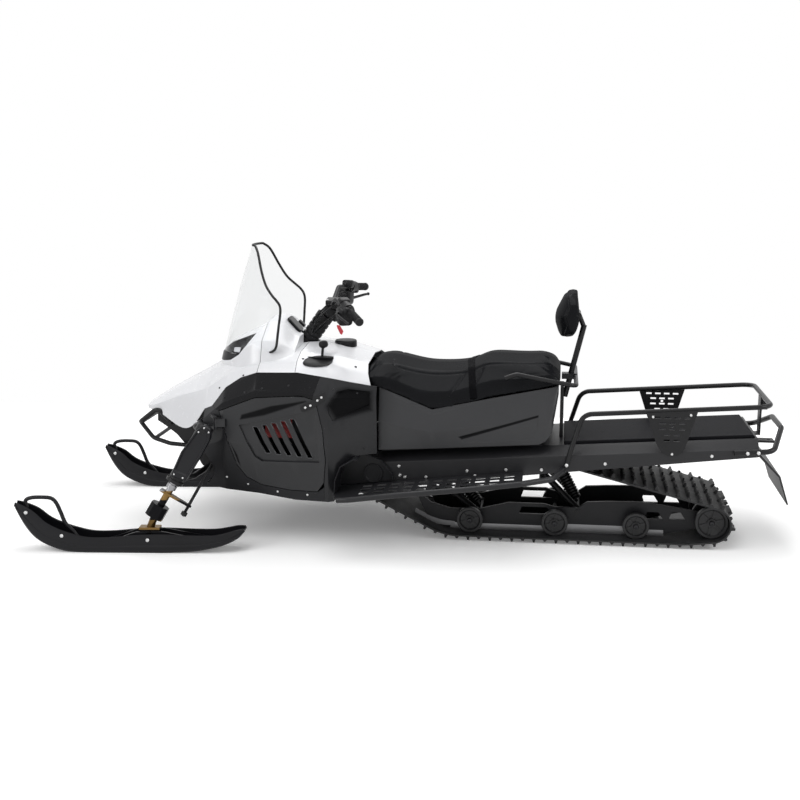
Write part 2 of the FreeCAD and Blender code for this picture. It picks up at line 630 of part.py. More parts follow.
def build_skid():
    """Rails, road wheels, idlers, drive axle and the arms that carry the rails."""
    belt, inside = build_track()
    save("track", belt)
    low = LUG_HEIGHT + BELT_THICKNESS + SEAT_GAP
    roller_z = LUG_HEIGHT + BELT_THICKNESS + ROLLER_RADIUS + SEAT_GAP
    rail_outline = [
        (50, 176), (66, 186), (110, 150), (200, 124), (330, 124), (470, 160), (640, 160), (680, 148),
        (790, 148), (830, 176), (930, 182), (1060, 186), (1180, 172), (1330, 150), (1384, 150), (1384, 84),
        (1300, 66), (1180, low + 12), (1130, low), (190, low), (120, low + 12), (80, 110),
    ]
    rail = prism(rail_outline, RAIL_Y - RAIL_THICKNESS / 2, RAIL_Y + RAIL_THICKNESS / 2)
    rail = rail.common(prism(inset(inside, SEAT_GAP), 0, TRACK_WIDTH / 2))
    windows = [(520, 110, 150), (1090, 106, 84), (1200, 108, 74)]
    for x, z, length in windows:
        hole = [(x, z), (x + length, z), (x + length - 22, z + 34), (x + 12, z + 34)]
        rail = rail.cut(prism(hole, 0, 400))
    for x in ROLLER_XS:
        rail = rail.cut(cross_rod(x, roller_z, AXLE_RADIUS + RUN_GAP, 0, 400))
    rail = rail.cut(cross_rod(IDLER_X, IDLER_Z, AXLE_RADIUS + RUN_GAP, 0, 400))
    for x, z in (FRONT_ARM_LOW, REAR_ARM_LOW):
        rail = rail.cut(cross_rod(x, z, AXLE_RADIUS + RUN_GAP, 0, 400))
    save("slide_rails", *both(rail))
    wheels = []
    for x in ROLLER_XS:
        axle = cross_rod(x, roller_z, AXLE_RADIUS, -ROLLER_Y - 20, ROLLER_Y + 20)
        wheels.append(axle)
        wheels += both(wheel(x, roller_z, ROLLER_Y, ROLLER_RADIUS, ROLLER_WIDTH))
    idlers = [cross_rod(IDLER_X, IDLER_Z, AXLE_RADIUS, -ROLLER_Y - 20, ROLLER_Y + 20)]
    for y in (ROLLER_Y, 70.0):
        idlers += both(wheel(IDLER_X, IDLER_Z, y, IDLER_RADIUS - SEAT_GAP - 2, ROLLER_WIDTH))
    drive = [cross_rod(SPROCKET_X, SPROCKET_Z, 14, -TUNNEL_HALF_WIDTH + TUNNEL_WALL + 0.5,
                       TUNNEL_HALF_WIDTH - TUNNEL_WALL - 0.5)]
    for y in (-170.0, -60.0, 60.0, 170.0):
        drive.append(cross_rod(SPROCKET_X, SPROCKET_Z, SPROCKET_RADIUS - 2, y - 14, y + 14))
    save("drive_axle", fuse(drive))
    arms = []
    side = TUNNEL_HALF_WIDTH - TUNNEL_WALL - SEAT_GAP
    for (low_x, low_z), (top_x, top_z) in ((FRONT_ARM_LOW, FRONT_ARM_TOP), (REAR_ARM_LOW, REAR_ARM_TOP)):
        parts = [cross_rod(low_x, low_z, AXLE_RADIUS, -RAIL_Y - 12, RAIL_Y + 12)]
        parts.append(cross_rod(top_x, top_z, AXLE_RADIUS, -side, side))
        for y in (-100.0, 100.0):
            parts.append(rod(V(low_x, y, low_z), V(top_x, y, top_z), 15))
        arms.append(fuse(parts))
    arms.append(cross_rod(FRONT_SHOCK_TOP[0], FRONT_SHOCK_TOP[1], AXLE_RADIUS, -side, side))
    save("suspension_arms", *arms)
    carrier = [cross_rod(CARRIER_X, CARRIER_Z, AXLE_RADIUS, -side, side)]
    for y in (RAIL_Y - 60.0, -RAIL_Y + 60.0):
        carrier.append(wheel(CARRIER_X, CARRIER_Z, y, CARRIER_RADIUS - SEAT_GAP - 0.8, ROLLER_WIDTH))
    save("track_wheels", *(wheels + idlers + carrier))
    shocks = []
    for low_end, top_end in ((FRONT_ARM_LOW, FRONT_SHOCK_TOP), (REAR_ARM_LOW, (CARRIER_X, CARRIER_Z))):
        foot = V(low_end[0], 0, low_end[1])
        head = V(top_end[0], 0, top_end[1])
        axis = (head - foot).normalize()
        eye = axis * (AXLE_RADIUS + SEAT_GAP)
        shocks.append(coil_shock(foot + eye, head - eye))
    save("shocks", *shocks)


SEAT_STATIONS = [
    (-168.0, [(0, 806), (120, 800), (170, 790), (186, 772), (0, 744)]),
    (-128.0, [(0, 818), (160, 804), (232, 762), (250, 716), (0, 690)]),
    (-20.0, [(0, 812), (176, 794), (258, 734), (270, 672), (0, 646)]),
    (72.0, [(0, 792), (180, 776), (270, 702), (278, 632), (0, 606)]),
    (150.0, [(0, 788), (182, 772), (274, 698), (281, 622), (0, 596)]),
    (237.0, [(0, 792), (180, 777), (272, 708), (279, 636), (0, 610)]),
    (300.0, [(0, 806), (178, 791), (270, 724), (276, 652), (0, 626)]),
    (360.0, [(0, 832), (174, 816), (266, 746), (272, 672), (0, 646)]),
    (430.0, [(0, 838), (174, 822), (262, 758), (269, 688), (0, 662)]),
    (560.0, [(0, 836), (170, 821), (256, 770), (262, 712), (0, 686)]),
    (640.0, [(0, 836), (164, 821), (250, 782), (256, 728), (0, 702)]),
    (672.0, [(0, 826), (158, 811), (240, 778), (248, 734), (0, 708)]),
    (691.0, [(0, 778), (150, 768), (226, 756), (238, 740), (0, 716)]),
]


def base_section(top, shoulder, low, foot):
    """Half of the seat base: its top, side and low edge, and the foot that stands on the deck."""
    return [(0, top[1] - 8), top, shoulder, low, (BASE_FOOT_HALF + 6, low[1]), (BASE_FOOT_HALF, foot), (0, foot)]


SEAT_BASE_STATIONS = [
    (BODY_REAR_X + 2.0, base_section((262, 712), (296, 560), (292, 428), 398)),
    (126.0, base_section((280, 618), (302, 520), (292, 442), 414)),
    (400.0, base_section((270, 676), (290, 560), (286, 459), 432)),
    (604.0, base_section((260, 716), (281, 560), (274, 470), 446)),
    (636.0, base_section((258, 722), (279, 562), (270, 486), 480)),
    (662.0, base_section((257, 727), (277, 600), (266, 524), 520)),
    (688.0, base_section((256, 732), (268, 716), (262, 700), 698)),
]


def build_seat(tunnel_solid):
    """The two-level seat pad and the moulded base it lies on, which straddles the tunnel."""
    seat = loft(SEAT_STATIONS)
    base = loft([(x, half) for x, half in SEAT_BASE_STATIONS], 0, True)
    hollow_stations = [(x - BASE_WALL if x > BASE_TAIL_X else x, half) for x, half in SEAT_BASE_STATIONS]
    hollow_stations[0] = (hollow_stations[0][0] + BASE_WALL, hollow_stations[0][1])
    hollow = loft(hollow_stations, BASE_WALL, True)
    base = base.cut(hollow.fuse(hollow.translated(V(0, 0, -3 * BASE_WALL))))
    base = base.cut(tunnel_solid)
    base = max(base.Solids, key=lambda solid: solid.Volume)
    save("seat_base", base)
    seat = seat.cut(loft(SEAT_BASE_STATIONS, -SEAT_GAP, True)).cut(tunnel_solid)
    save("seat", max(seat.Solids, key=lambda solid: solid.Volume))


def build_windshield():
    """A wrapped clear screen: an arc at each level, lofted upwards."""
    levels = [
        (838.0, -888.0, 258.0, -690.0), (900.0, -872.0, 288.0, -606.0), (980.0, -852.0, 278.0, -582.0),
        (1068.0, -826.0, 262.0, -568.0), (1170.0, -796.0, 208.0, -645.0), (1286.0, -759.0, 129.0, -693.0),
        (1334.0, -742.0, 72.0, -722.0),
    ]
    rings = []
    for z, front_x, half, side_x in levels:
        curve = []
        for wall in (0.0, SCREEN_WALL):
            left = V(side_x + wall * 0.2, half - wall, z)
            right = V(side_x + wall * 0.2, -half + wall, z)
            curve.append(Part.Arc(left, V(front_x + wall, 0, z), right).toShape())
        first, second = curve
        ends = []
        for at_start in (True, False):
            near = first.valueAt(first.FirstParameter if at_start else first.LastParameter)
            far = second.valueAt(second.FirstParameter if at_start else second.LastParameter)
            ends.append(Part.LineSegment(near, far).toShape())
        rings.append(Part.Wire(Part.__sortEdges__([first, ends[0], second, ends[1]])))
    return Part.makeLoft(rings, True, False)


def grab_rail(radius):
    """The passenger's rail along both sides of the seat and round behind it."""
    return tube([V(452, -288, 770), V(500, -288, 788), V(764, -268, 738), V(764, 268, 738), V(500, 288, 788),
                 V(452, 288, 770)], 40, radius)


def build_rear():
    """Cargo deck, rack, bumper, hitch, lamp and flap at the rear, with the backrest."""
    x_low, x_high = DECK_FRONT_X, TUNNEL_REAR_X - 8
    lift = DECK_THICKNESS
    x_top = x_high - DECK_BEVEL
    deck = prism([(x_low, deck_z(x_low)), (x_high, deck_z(x_high)), (x_top, deck_z(x_top) + lift),
                  (x_low, deck_z(x_low) + lift)], -DECK_HALF_WIDTH, DECK_HALF_WIDTH)
    save("cargo_deck", deck)
    y = RACK_Y
    foot_y = TUNNEL_HALF_WIDTH + RACK_RADIUS + SEAT_GAP
    rail = [V(728, -foot_y, 372), V(744, -foot_y, 440), V(796, -y, 612), V(1606, -y, 668), V(1606, y, 668),
            V(796, y, 612), V(744, foot_y, 440), V(728, foot_y, 372)]
    rack = tube(rail, RACK_BEND, RACK_RADIUS)
    save("rack", rack)
    plate = [(1072, 629), (1293, 645), (1250, 499), (1235, 458), (1212, 440), (1168, 438), (1140, 455),
             (1117, 495)]
    plate_y = y + RACK_RADIUS + SEAT_GAP
    side = prism(plate, plate_y, plate_y + PLATE_WALL)
    for row, (z, count) in enumerate(((610, 4), (586, 3), (560, 3), (534, 2), (508, 2))):
        for i in range(count):
            x = 1184 + (i - (count - 1) / 2) * 42
            side = side.cut(block(x - 13, x + 13, plate_y - 2, plate_y + 9, z - 4, z + 4))
    side = side.cut(cross_rod(1184, 573, 6, plate_y - 2, plate_y + 9))
    save("rack_plates", *both(side))
    bumper_y = TUNNEL_HALF_WIDTH + BUMPER_RADIUS + SEAT_GAP
    bumper = tube([V(1453, -bumper_y, 462), V(1620, -bumper_y, 474), V(1676, -120, 545), V(1676, 120, 545),
                   V(1620, bumper_y, 474), V(1453, bumper_y, 462)], 45, BUMPER_RADIUS)
    save("rear_bumper", bumper)
    rear = TUNNEL_REAR_X
    hitch_z = deck_z(rear) - 60
    tongue = block(rear - 60, rear + HITCH_REACH + 22, -30, 30, hitch_z - 5, hitch_z + 5)
    tongue = tongue.cut(Part.makeCylinder(HITCH_PIN_RADIUS, 40, V(rear + HITCH_REACH, 0, hitch_z - 20)))
    bracket = block(rear + SEAT_GAP, rear + SEAT_GAP + HITCH_PLATE, -60, 60, hitch_z - 5, deck_z(rear) - 4)
    cross = block(rear - 60, rear - 50, -TUNNEL_HALF_WIDTH + TUNNEL_WALL + 0.3,
                  TUNNEL_HALF_WIDTH - TUNNEL_WALL - 0.3, hitch_z - 5, hitch_z + 5)
    save("hitch", fuse([tongue, bracket, cross]))
    flap_top = hitch_z - 5 - SEAT_GAP
    flap = [(rear + SEAT_GAP, flap_top), (rear + 8, flap_top), (1664, 350), (1704, 224), (1698, 222),
            (1657, 345), (rear + SEAT_GAP, flap_top - 9)]
    save("snow_flap", prism(flap, -242, 242))
    lamp_foot = rear + HITCH_PLATE + 2 * SEAT_GAP
    lamp = fuse([block(1594, 1602, -34, 34, 600, 664), block(1602, 1622, -56, 56, 612, 652),
                 block(1594, 1602, -30, 30, deck_z(rear) - 30, 610),
                 block(lamp_foot, 1602, -30, 30, deck_z(rear) - 30, deck_z(rear) - 24)])
    lamp = lamp.cut(tube(rail, RACK_BEND, RACK_RADIUS + SEAT_GAP))
    save("tail_lamp", max(lamp.Solids, key=lambda solid: solid.Volume))
    save("grab_rail", grab_rail(GRAB_RADIUS))
    post = fuse([
        block(696, 712, -60, 60, deck_z(712) + SEAT_GAP, 700),
        rod(V(716, 0, 640), V(796, 0, 975), 13),
        rod(V(796, 0, 962), V(768, 0, 1030), 11),
        cross_rod(768, 1026, 13, -60, 60),
        block(700, 770, -24, 24, 725, 751),
    ])
    post = post.cut(grab_rail(GRAB_RADIUS + SEAT_GAP))
    save("backrest_post", max(post.Solids, key=lambda solid: solid.Volume))
    pad_stations = [
        (-158.0, [(742, 960), (762, 965), (776, 1025), (766, 1085), (735, 1080), (712, 1030)]),
        (-90.0, [(700, 932), (750, 930), (772, 1020), (764, 1120), (724, 1126), (672, 1020)]),
        (0.0, [(692, 922), (750, 924), (768, 1020), (764, 1136), (726, 1140), (662, 1015)]),
        (90.0, [(700, 932), (750, 930), (772, 1020), (764, 1120), (724, 1126), (672, 1020)]),
        (158.0, [(742, 960), (762, 965), (776, 1025), (766, 1085), (735, 1080), (712, 1030)]),
    ]
    rings = []
    for y_at, ring in pad_stations:
        corners = [V(x, y_at, z) for x, z in ring]
        rings.append(Part.makePolygon(corners + [corners[0]]))
    pad = Part.makeLoft(rings, True, False)
    pad = pad.cut(cross_rod(768, 1026, 13 + SEAT_GAP, -61, 61)).cut(rod(V(796, 0, 962), V(768, 0, 1030), 12))
    save("backrest_pad", max(pad.Solids, key=lambda solid: solid.Volume))


def on_kingpin(z):
    """The point of the right kingpin axis at a height."""
    share = (z - KINGPIN_LOW.z) / (KINGPIN_TOP.z - KINGPIN_LOW.z)
    return KINGPIN_LOW + (KINGPIN_TOP - KINGPIN_LOW) * share


def framed(shape, origin):
    """Moves a shape from its own frame to the kingpin: Z up the pin, X to the rear."""
    matrix = FreeCAD.Matrix(
        ARM_AXIS.x, SIDE_AXIS.x, KINGPIN_AXIS.x, origin.x,
        ARM_AXIS.y, SIDE_AXIS.y, KINGPIN_AXIS.y, origin.y,
        ARM_AXIS.z, SIDE_AXIS.z, KINGPIN_AXIS.z, origin.z,
        0, 0, 0, 1)
    return shape.transformed(matrix, True)


def turned(shape, base, axis, angle):
    copy = shape.copy()
    copy.rotate(base, axis, angle)
    return copy


def build_ski():
    """A moulded ski with two ribs for the saddle bolt and a lifting loop at its tip."""
    low = [(-620, 200), (-596, 158), (-556, 110), (-500, 64), (-430, 26), (-350, 4), (-270, 0)]
    rise = [(250, 0), (310, 10), (362, 32), (414, 84)]

    def curve(points, lift):
        moved = []
        for i, (x, z) in enumerate(points):
            ax, az = points[max(i - 1, 0)]
            bx, bz = points[min(i + 1, len(points) - 1)]
            length = math.hypot(bx - ax, bz - az)
            moved.append(V(x - lift * (bz - az) / length, 0, z + lift * (bx - ax) / length))
        spline = Part.BSplineCurve()
        spline.interpolate(moved)
        return spline.toShape()

    edges = []
    for lift in (0.0, SKI_PLATE):
        front = curve(low, lift)
        back = curve(rise, lift)
        flat = Part.LineSegment(front.valueAt(front.LastParameter), back.valueAt(back.FirstParameter)).toShape()
        edges += [front, flat, back]
    tip = Part.LineSegment(edges[0].valueAt(edges[0].FirstParameter), edges[3].valueAt(edges[3].FirstParameter))
    heel = Part.LineSegment(edges[2].valueAt(edges[2].LastParameter), edges[5].valueAt(edges[5].LastParameter))
    wire = Part.Wire(Part.__sortEdges__(edges + [tip.toShape(), heel.toShape()]))
    half = SKI_WIDTH / 2
    plate = Part.Face(wire).extrude(V(0, SKI_WIDTH, 0)).translated(V(0, -half, 0))
    plan = [(-640, -26), (-600, -40), (-520, -54), (-430, -half), (330, -half), (430, -34), (430, 34),
            (330, half), (-430, half), (-520, 54), (-600, 40), (-640, 26)]
    ski = plate.common(slab(plan, -20, 300))
    rib = [(-470, 50), (-400, 34), (-330, 20), (-210, 40), (-70, 84), (-34, 96), (34, 96), (70, 82), (200, 42),
           (340, 34), (300, 8), (-300, 8), (-400, 20)]
    ribs = both(prism(rib, SKI_RIB_Y, SKI_RIB_Y + SKI_RIB_WALL))
    edge = [(-540, 98), (-470, 58), (-400, 34), (-300, 26), (250, 26), (330, 34), (330, 18), (250, 6), (-300, 6),
            (-400, 18), (-540, 88)]
    ribs += both(prism(edge, half - 8, half))
    loop = tube([V(-598, 0, 176), V(-582, 0, 238), V(-470, 0, 238), V(-404, 0, 34)], 26, 9)
    reach = SKI_RIB_Y + SKI_RIB_WALL
    bolt = cross_rod(0, SADDLE_Z, SKI_BOLT_RADIUS, -reach - 6, reach + 6)
    heads = both(cross_rod(0, SADDLE_Z, SKI_BOLT_RADIUS + 5, reach + SEAT_GAP, reach + 8))
    bolt = fuse([bolt] + heads)
    hole = cross_rod(0, SADDLE_Z, SKI_BOLT_RADIUS + RUN_GAP, -reach - 1, reach + 1)
    ski = fuse([ski] + ribs + [loop]).cut(hole)
    return ski, bolt


def build_front():
    """Struts, legs, skis and tie rods, with the frame and bumper that carry them."""
    low = on_kingpin(STRUT_LOW_Z)
    high = on_kingpin(STRUT_HIGH_Z)
    strut = rod(low, high, STRUT_RADIUS)
    strut = strut.fuse(rod(low, low + KINGPIN_AXIS * 16, STRUT_RADIUS + STRUT_LOW_COLLAR))
    strut = strut.fuse(rod(high - KINGPIN_AXIS * 34, high, STRUT_RADIUS + STRUT_TOP_COLLAR)).removeSplitter()
    strut = strut.cut(rod(low - KINGPIN_AXIS, low + KINGPIN_AXIS * STRUT_BORE_DEPTH, SHAFT_RADIUS + RUN_GAP))
    save("struts", *both(strut))
    foot = V(SADDLE_X, SKI_STANCE / 2, SADDLE_Z + 22)
    shaft = rod(on_kingpin(150), low + KINGPIN_AXIS * (STRUT_BORE_DEPTH - 4), SHAFT_RADIUS)
    collar = rod(on_kingpin(284), on_kingpin(302), SHAFT_RADIUS + 7)
    arm_outline = [(-36, -20), (10, -20), (STEERING_ARM_REACH, -10), (STEERING_ARM_REACH + 12, 0),
                   (STEERING_ARM_REACH, 10), (10, 20), (-36, 20)]
    arm = framed(slab(arm_outline, -5, 5), on_kingpin(STEERING_ARM_Z))
    stud_end = STUD_DROP + EYE_HALF + 4
    stud = Part.makeCylinder(STUD_RADIUS, stud_end, V(STEERING_ARM_REACH, 0, -stud_end))
    stud = framed(stud, on_kingpin(STEERING_ARM_Z))
    bump = Part.makeBox(80, 72, 62, V(-42, -36, -34))
    bump = bump.makeChamfer(18, [edge for edge in bump.Edges if abs(edge.tangentAt(0).z) > 0.9])
    bump = framed(bump, on_kingpin(186))
    spindle = rod(on_kingpin(158), foot, SHAFT_RADIUS + 1)
    saddle = block(-46, 46, -SKI_RIB_Y + 1, SKI_RIB_Y - 1, SADDLE_Z - 12, SADDLE_Z + 28)
    ski, bolt = build_ski()
    saddle = saddle.fuse(bolt)
    saddle.rotate(V(0, 0, 0), V(0, 0, 1), PARKED_SKI_ANGLE)
    saddle = saddle.translated(V(SADDLE_X, SKI_STANCE / 2, 0))
    tie_base = on_kingpin(STEERING_ARM_Z) + ARM_AXIS * STEERING_ARM_REACH - KINGPIN_AXIS * STUD_DROP
    for side, name in ((1, "right"), (-1, "left")):
        def placed(shape):
            return shape if side > 0 else mirror(shape)

        pin = KINGPIN_LOW if side > 0 else V(KINGPIN_LOW.x, -KINGPIN_LOW.y, KINGPIN_LOW.z)
        axis = KINGPIN_AXIS if side > 0 else V(KINGPIN_AXIS.x, -KINGPIN_AXIS.y, KINGPIN_AXIS.z)
        upper = placed(fuse([shaft, collar, arm, bump]))
        upper = turned(upper, pin, axis, PARKED_SKI_ANGLE)
        stud_placed = turned(placed(stud), pin, axis, PARKED_SKI_ANGLE)
        base = saddle if side > 0 else saddle.translated(V(0, -SKI_STANCE, 0))
        leg = fuse([upper, stud_placed, placed(spindle), base])
        turned_ski = turned(ski, V(0, 0, 0), V(0, 0, 1), PARKED_SKI_ANGLE)
        here = V(SADDLE_X, side * SKI_STANCE / 2, 0)
        save(name + "_ski_leg", leg)
        save(name + "_ski", turned_ski.translated(here))
        eye_at = turned(Part.Vertex(tie_base if side > 0 else V(tie_base.x, -tie_base.y, tie_base.z)),
                        pin, axis, PARKED_SKI_ANGLE).Point
        inner = V(TIE_ROD_INNER.x, side * TIE_ROD_INNER.y, TIE_ROD_INNER.z)
        bar = rod(eye_at, inner, 7)
        eye = rod(eye_at - axis * EYE_HALF, eye_at + axis * EYE_HALF, 14)
        end = rod(inner - V(0, 10, 0), inner + V(0, 10, 0), 12)
        tie = fuse([bar, eye, end]).cut(rod(eye_at - axis * 30, eye_at + axis * 30, STUD_RADIUS + RUN_GAP))
        save(name + "_tie_rod", max(tie.Solids, key=lambda solid: solid.Volume))
    plate = [(-1190, 556), (-1192, 505), (-1150, 478), (-1100, 440), (-1060, 392), (-1012, 352), (-985, 300),
             (-950, 262), (BODY_FRONT_X - SEAT_GAP, 250), (BODY_FRONT_X - SEAT_GAP, 600), (-1100, 640)]
    nose = loft(NOSE_STATIONS)
    pieces = both(prism(plate, 150, 156).cut(nose))
    pieces.append(cross_rod(-932, 532, 15, -152, 152))
    pieces.append(cross_rod(-935, 300, 15, -152, 152))
    pieces.append(cross_rod(-1180, 520, 10, -152, 152))
    for side in (-1, 1):
        top = on_kingpin(548)
        bottom = on_kingpin(320)
        upper = tube([V(-932, side * 150, 532), V(-930, side * 405, 538), V(top.x, side * top.y, top.z)], 30, 15)
        lower = tube([V(-935, side * 150, 300), V(-946, side * 400, 306), V(bottom.x, side * bottom.y, bottom.z)],
                     60, 13)
        pieces += [upper, lower]
    frame = pieces[0]
    for piece in pieces[1:]:
        frame = frame.fuse(piece)
    middle = on_kingpin(440)
    clear = rod(low, middle, STRUT_RADIUS + STRUT_LOW_COLLAR + SEAT_GAP)
    clear = clear.fuse(rod(middle, high + KINGPIN_AXIS * 40, STRUT_RADIUS + STRUT_TOP_COLLAR + SEAT_GAP))
    frame = frame.cut(clear).cut(mirror(clear)).cut(nose)
    save("front_frame", max(frame.Solids, key=lambda solid: solid.Volume))
    hoop = bumper_hoop(BUMPER_HOOP_RADIUS)
    lower_hoop = tube([V(-1040, -172, 392), V(-1130, -172, 398), V(-1215, -160, 420), V(-1280, -140, 490)], 60, 10)
    lower_bar = cross_rod(-1209, 418, 9, -162, 162)
    bumper = fuse([hoop, lower_bar] + both(lower_hoop) + both(block(-1150, -1120, 156.3, 176, 490, 514))
                  + both(block(-1060, -1030, 156.3, 176, 384, 404)))
    save("front_bumper", bumper)


def build_steering():
    """Column with its boot, the bar with grips, pods and levers, all turned to the parked angle."""
    column = rod(COLUMN_LOW - COLUMN_AXIS * 140, COLUMN_TOP, COLUMN_RADIUS)
    boot = rod(COLUMN_LOW - COLUMN_AXIS * 20, COLUMN_LOW + COLUMN_AXIS * 150, BOOT_RADIUS)
    for ring in range(5):
        start = COLUMN_LOW + COLUMN_AXIS * (8 + ring * 26)
        boot = boot.cut(rod(start, start + COLUMN_AXIS * 9, BOOT_RADIUS + 5).cut(
            rod(start, start + COLUMN_AXIS * 9, BOOT_RADIUS - 6)))
    boot = boot.cut(column)
    bar_line = [V(-235, -BAR_HALF_SPAN, 1056), V(-296, -250, 1086), V(-352, -150, 1104), V(-372, -52, 1056),
                V(-372, 52, 1056), V(-352, 150, 1104), V(-296, 250, 1086), V(-235, BAR_HALF_SPAN, 1056)]
    bar = tube(bar_line, 30, BAR_RADIUS)
    clamp = block(-404, -338, -44, 44, 1030, 1078)
    clamp = clamp.makeChamfer(8, clamp.Edges)
    hub = fuse([column, clamp.cut(boot)]).cut(bar)
    grips = []
    pods = []
    for side in (-1, 1):
        end = V(-235, side * BAR_HALF_SPAN, 1056)
        inner = V(-296, side * 250, 1086)
        along = (end - inner).normalize()
        grips.append(rod(end - along * GRIP_LENGTH, end + along * 8, GRIP_RADIUS).cut(bar))
        pod_at = inner + along * 6
        pods.append(rod(pod_at - along * 26, pod_at + along * 22, 27).cut(bar))
        lever = tube([pod_at + V(-24, 0, -8), pod_at + V(-50, side * 30, -18), end + V(-46, side * -12, -14)], 18, 6)
        pods[-1] = fuse([pods[-1], lever])
    pieces = {
        "steering_column": [hub],
        "steering_boot": [boot],
        "handlebar": [bar],
        "grips": grips,
        "bar_controls": pods,
    }
    for name, solids in pieces.items():
        save(name, *[turned(solid, COLUMN_LOW, COLUMN_AXIS, PARKED_BAR_ANGLE) for solid in solids])
    low = COLUMN_LOW - COLUMN_AXIS * 136
    sleeve = rod(low, low + COLUMN_AXIS * 60, COLUMN_RADIUS + 11)
    legs = [rod(low + COLUMN_AXIS * 30, V(-620, side * 120, ENGINE_TOP_Z + SEAT_GAP), 11) for side in (-1, 1)]
    bracket = fuse([sleeve] + legs).cut(rod(low - COLUMN_AXIS * 60, COLUMN_TOP, COLUMN_RADIUS + RUN_GAP))
    bracket = bracket.cut(block(-900, -400, -300, 300, 300, ENGINE_TOP_Z + SEAT_GAP))
    save("column_bracket", max(bracket.Solids, key=lambda solid: solid.Volume))


def board_top(x):
    """Height of what stands on the running boards."""
    return BOARD_Z_AT_ZERO + BOARD_RISE * x


def build_inner_and_boards(layers, cowl_outer):
    bay = layers[BODY_WALL].translated(V(0, 0, SEAT_GAP))
    save("engine", block(ENGINE_FRONT_X, ENGINE_REAR_X, -205, 205, 0, ENGINE_TOP_Z).common(bay))
    gauge = rod(GAUGE_TOP - GAUGE_AXIS * GAUGE_RISE, GAUGE_TOP, GAUGE_RADIUS).cut(cowl_outer).cut(layers[0.0])
    gauge = max(gauge.Solids, key=lambda solid: solid.Volume)
    save("dash_gauge", gauge.translated(GAUGE_AXIS * SEAT_GAP))
    bezel = Part.Face(Part.Wire(Part.Ellipse(V(-384, -250, 800), 62, 26).toShape()))
    bezel = bezel.extrude(V(0, -14, 46)).cut(layers[0.0])
    lever = rod(V(-376, -262, 832), V(-372, -255, 890), 6)
    knob = Part.makeSphere(17, V(-372, -254, 898))
    lever = fuse([max(bezel.Solids, key=lambda solid: solid.Volume), lever.cut(layers[0.0]), knob])
    save("gear_lever", lever)
    cap = Part.makeCylinder(CAP_RADIUS, CAP_TOP_Z - 812, V(-312, 0, 812))
    cap = cap.makeFillet(CAP_ROUND, [edge for edge in cap.Edges if edge.BoundBox.ZMin > CAP_TOP_Z - 1])
    save("fuel_cap", cap.cut(layers[0.0]))
    wall = 4.0
    inner = TUNNEL_HALF_WIDTH + SEAT_GAP
    well = [(x + FOOT_GAP, z - FOOT_GAP) for x, z in reversed(FOOT_ARCH)]
    well += [(-100, 380), (-52, 318), (-30, 200)]
    tub = prism(well, inner, 440).cut(prism(inset(well, wall), inner + wall, 500))
    rim = prism([(-190, 440), (-196, 300), (-120, 240), (10, 240), (10, 440)], inner + 24, 500)
    disc = cross_rod(-140, 316, 44, inner, inner + 12).cut(cross_rod(-140, 316, 36, inner + 8, inner + 14))
    below = prism([(-400, 0), (-400, board_top(-400)), (10, board_top(10)), (10, 0)], 0, FAR)
    tub = fuse([tub.cut(rim), disc]).cut(below)
    save("footwells", *both(tub))
    line = [V(-262, 545, 258), V(-214, 556, 264), V(10, 548, 292), V(320, 528, 324), V(530, 500, 346),
            V(668, 420, 352), V(716, 300, 362)]
    rail = tube(line, 40, BOARD_TUBE_RADIUS)
    ends = (BOARD_FRONT_X, BOARD_REAR_X)
    floor = [(x, board_top(x) - SEAT_GAP - BOARD_WALL) for x in ends]
    floor += [(x, board_top(x) - SEAT_GAP) for x in reversed(ends)]
    board = prism(floor, inner, 560)
    edge = slab([(BOARD_FRONT_X, inner - 1), (BOARD_FRONT_X, 440), (-262, 545), (-214, 556), (10, 548),
                 (320, 528), (530, 500), (BOARD_REAR_X + 1, 497), (BOARD_REAR_X + 1, inner - 1)], 0, 500)
    board = board.common(edge)
    for i in range(11):
        for row in range(3):
            x = -180 + i * 64
            board = board.cut(block(x, x + 42, 322 + row * 58, 352 + row * 58, 200, 400))
    save("running_boards", *both(fuse([rail, board.cut(rail)])))


layers, cowl_outer = build_bodywork()
tunnel_solid = build_tunnel()
build_skid()
build_seat(tunnel_solid)
save("windshield", build_windshield().cut(cowl_outer))
build_rear()
build_front()
build_steering()
build_inner_and_boards(layers, cowl_outer)
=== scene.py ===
import json
import math
import bmesh
import bpy
import numpy as np
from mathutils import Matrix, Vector
from mathutils.bvhtree import BVHTree


